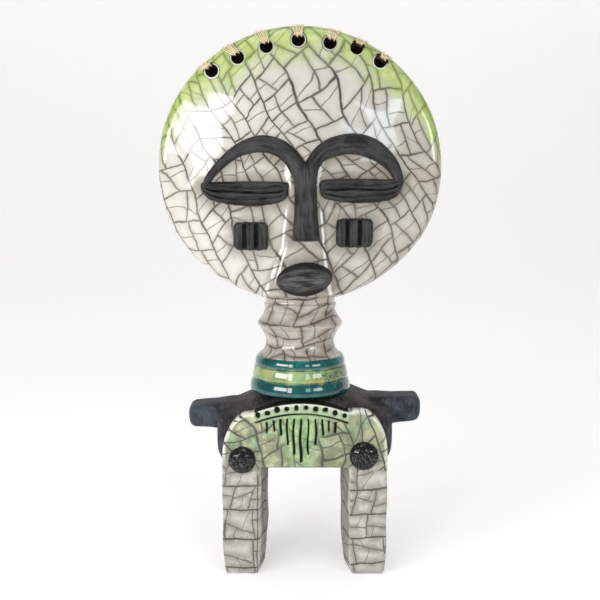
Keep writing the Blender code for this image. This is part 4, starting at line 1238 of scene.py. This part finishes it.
FAN_SHARES = np.array([0, 0, 0, 0, 0.1, 0.4, 0.7, 0.9, 1, 1, 1, 0.9, 0.7, 0.4, 0.1])
LEANS = (-3.0, -2.2, -1.2, 0.2, 0.4, 0.6, 0.8)
rng = np.random.default_rng(7)
wind, t = np.linspace(1.5, 8.4 * pi, 230), around(90)
trefoil = xyz(np.sin(t) + 2 * np.sin(2 * t), -np.cos(t) + 2 * np.cos(2 * t), -np.sin(3 * t)) * (1.05, 1.05, 0.75)
trefoil = np.concatenate([trefoil, trefoil[:1]])
for number, (angle, inset) in enumerate(HOLES):
    a = radians(angle)
    radial, sideways, behind = np.array([(sin(a), 0, cos(a)), (cos(a), 0, -sin(a)), (0, 1, 0)])
    edge = float(head_edge(a))
    wall = edge - inset + HOLE_RADIUS
    grids = []
    for s in range(6):
        start, end = (s - 2.5) * 0.75, (s - 2.5) * 1.15 + LEANS[number] + rng.uniform(-0.4, 0.4)
        fan = np.append(start + (end - start) * FAN_SHARES, start * 0.5)
        loop = curve(np.column_stack([strand_path(a, edge, wall, s), fan]), 90)
        path = loop[:, :1] * radial + loop[:, 1:2] * behind + loop[:, 2:] * sideways + (0, HEAD_Y, HEAD_CENTRE)
        grids.append(carried(path, np.broadcast_to(sideways, path.shape), 0.28, 0.5 + 0.16 * rng.random()))
    hx, hz = hole_spot(angle, inset)
    x, z = hx + 0.14 * wind * np.cos(wind), hz + 0.14 * wind * np.sin(wind)
    coil = xyz(x, HEAD_Y + head_depth(x, z, BACK_DOME) + 0.75 + 0.12 * np.sin(3.1 * wind), z)
    grids.append(carried(coil, xyz(np.cos(wind), 0 * wind, np.sin(wind)), 0.45, 1.3))
    centre = (hx, HEAD_Y + float(head_depth(hx, hz, BACK_DOME)) + 1.6, hz)
    knot = trefoil @ np.array([sideways, radial, behind]) + centre
    grids.append(carried(knot, np.broadcast_to(radial, knot.shape), 1.2, 1.9, 10))
    dress(join(f"raffia_strands_{number + 1}", grids), RAFFIA, "raffia", f"raffia_tie_{number + 1}")

# %% [markdown]
# ## Floor, light and camera
#
# The doll stands on a plain pale sweep: a floor that curves up into a backdrop, so no edge shows behind it. Four soft
# lights stand before it, two each side of the camera. The narrow pair gives the broad shine left and right of the
# forehead, and the wide pair, further out, the bright bars on neck and rings. A ceiling light softens the shadows,
# and one behind keeps the backdrop nearly white. Glossy glaze mirrors its surroundings, so the room is dim, but the
# camera sees it pale, for views that look past the sweep.

# %% Floor and backdrop
floor_material, floor_shader, spot, *_ = start_finish("plain_floor")
floor_colour = blend(noise(spot, 0.01, 2.0), colour("f6f5f3"), colour("f9f8f7"))
finish(floor_shader, Base_Color=floor_colour, Roughness=0.9, Emission_Color=(1, 1, 1, 1), Emission_Strength=0.36)
bend = np.linspace(0, pi / 2, 24)
sweep = np.stack([900 + 700 * np.sin(bend), 700 * (1 - np.cos(bend))], -1)
sweep = np.concatenate([[(-2500, 0)], sweep, [(1600, 3000)]])
grid = xyz(np.array([[-3000.0, 3000.0]]), sweep[:, :1], sweep[:, 1:])
floor = place_mesh("floor_sweep", grid, grid_faces(*grid.shape[:2]))
floor.data.materials.append(floor_material)
print(f"the floor starts to bend up {sweep[1, 0]:.0f} mm behind the doll")


# %% Lights
def soft_light(name, azimuth, rise, distance, width, height, glow, aim=(0, 0, 0.2), tone=(1, 1, 1)):
    """A rectangular soft light at a direction seen from its aim, in degrees, with its glow for each square metre."""
    data = bpy.data.lights.new(name, "AREA")
    data.shape, data.color = "RECTANGLE", tone
    data.size, data.size_y, data.energy = width, height, glow * pi * width * height
    lamp = put(name, data)
    a, e = radians(azimuth), radians(rise)
    way = Vector((sin(a) * cos(e), -cos(a) * cos(e), sin(e)))
    lamp.location = Vector(aim) + way * distance
    lamp.rotation_euler = way.to_track_quat("Z", "Y").to_euler()
    print(f"{name}: {data.energy:.2f} W")


soft_light("shine_left", -23.5, 8.5, 1.0, 0.17, 0.36, 7.8)
soft_light("shine_right", 18.5, 10.1, 1.0, 0.17, 0.25, 4.2, tone=(0.76, 0.9, 1.0))
soft_light("window_left", -46.5, 10, 1.1, 0.62, 0.26, 9.0)
soft_light("window_right", 42, 10, 1.1, 0.40, 0.22, 5.5)
soft_light("ceiling", 0, 75, 1.5, 1.2, 1.2, 1.3)
soft_light("backdrop", 180, 50, 1.5, 2.0, 0.4, 26.0, (0, 1.0, 0.2))

world = bpy.data.worlds.new("pale_room")
bpy.context.scene.world = world
world.use_nodes = True
Flow.tree = world.node_tree
seen = Flow.node("LightPath", output="Is Camera Ray")
finish(world.node_tree.nodes["Background"], Color=(1, 1, 1, 1), Strength=seen * 0.65 + 0.25)
bpy.context.scene.view_settings.view_transform = "Standard"

# %% Camera
LOOKS_DOWN = 7.125
camera_data = bpy.data.cameras.new("camera")
camera_data.lens, camera_data.sensor_width = 60, 36
camera = put("camera", camera_data)
camera.location = (0, -0.558, 0.2194)
camera.rotation_euler = (radians(90 - LOOKS_DOWN), 0, 0)
bpy.context.scene.camera = camera
print("the camera looks down by", LOOKS_DOWN, "degrees")
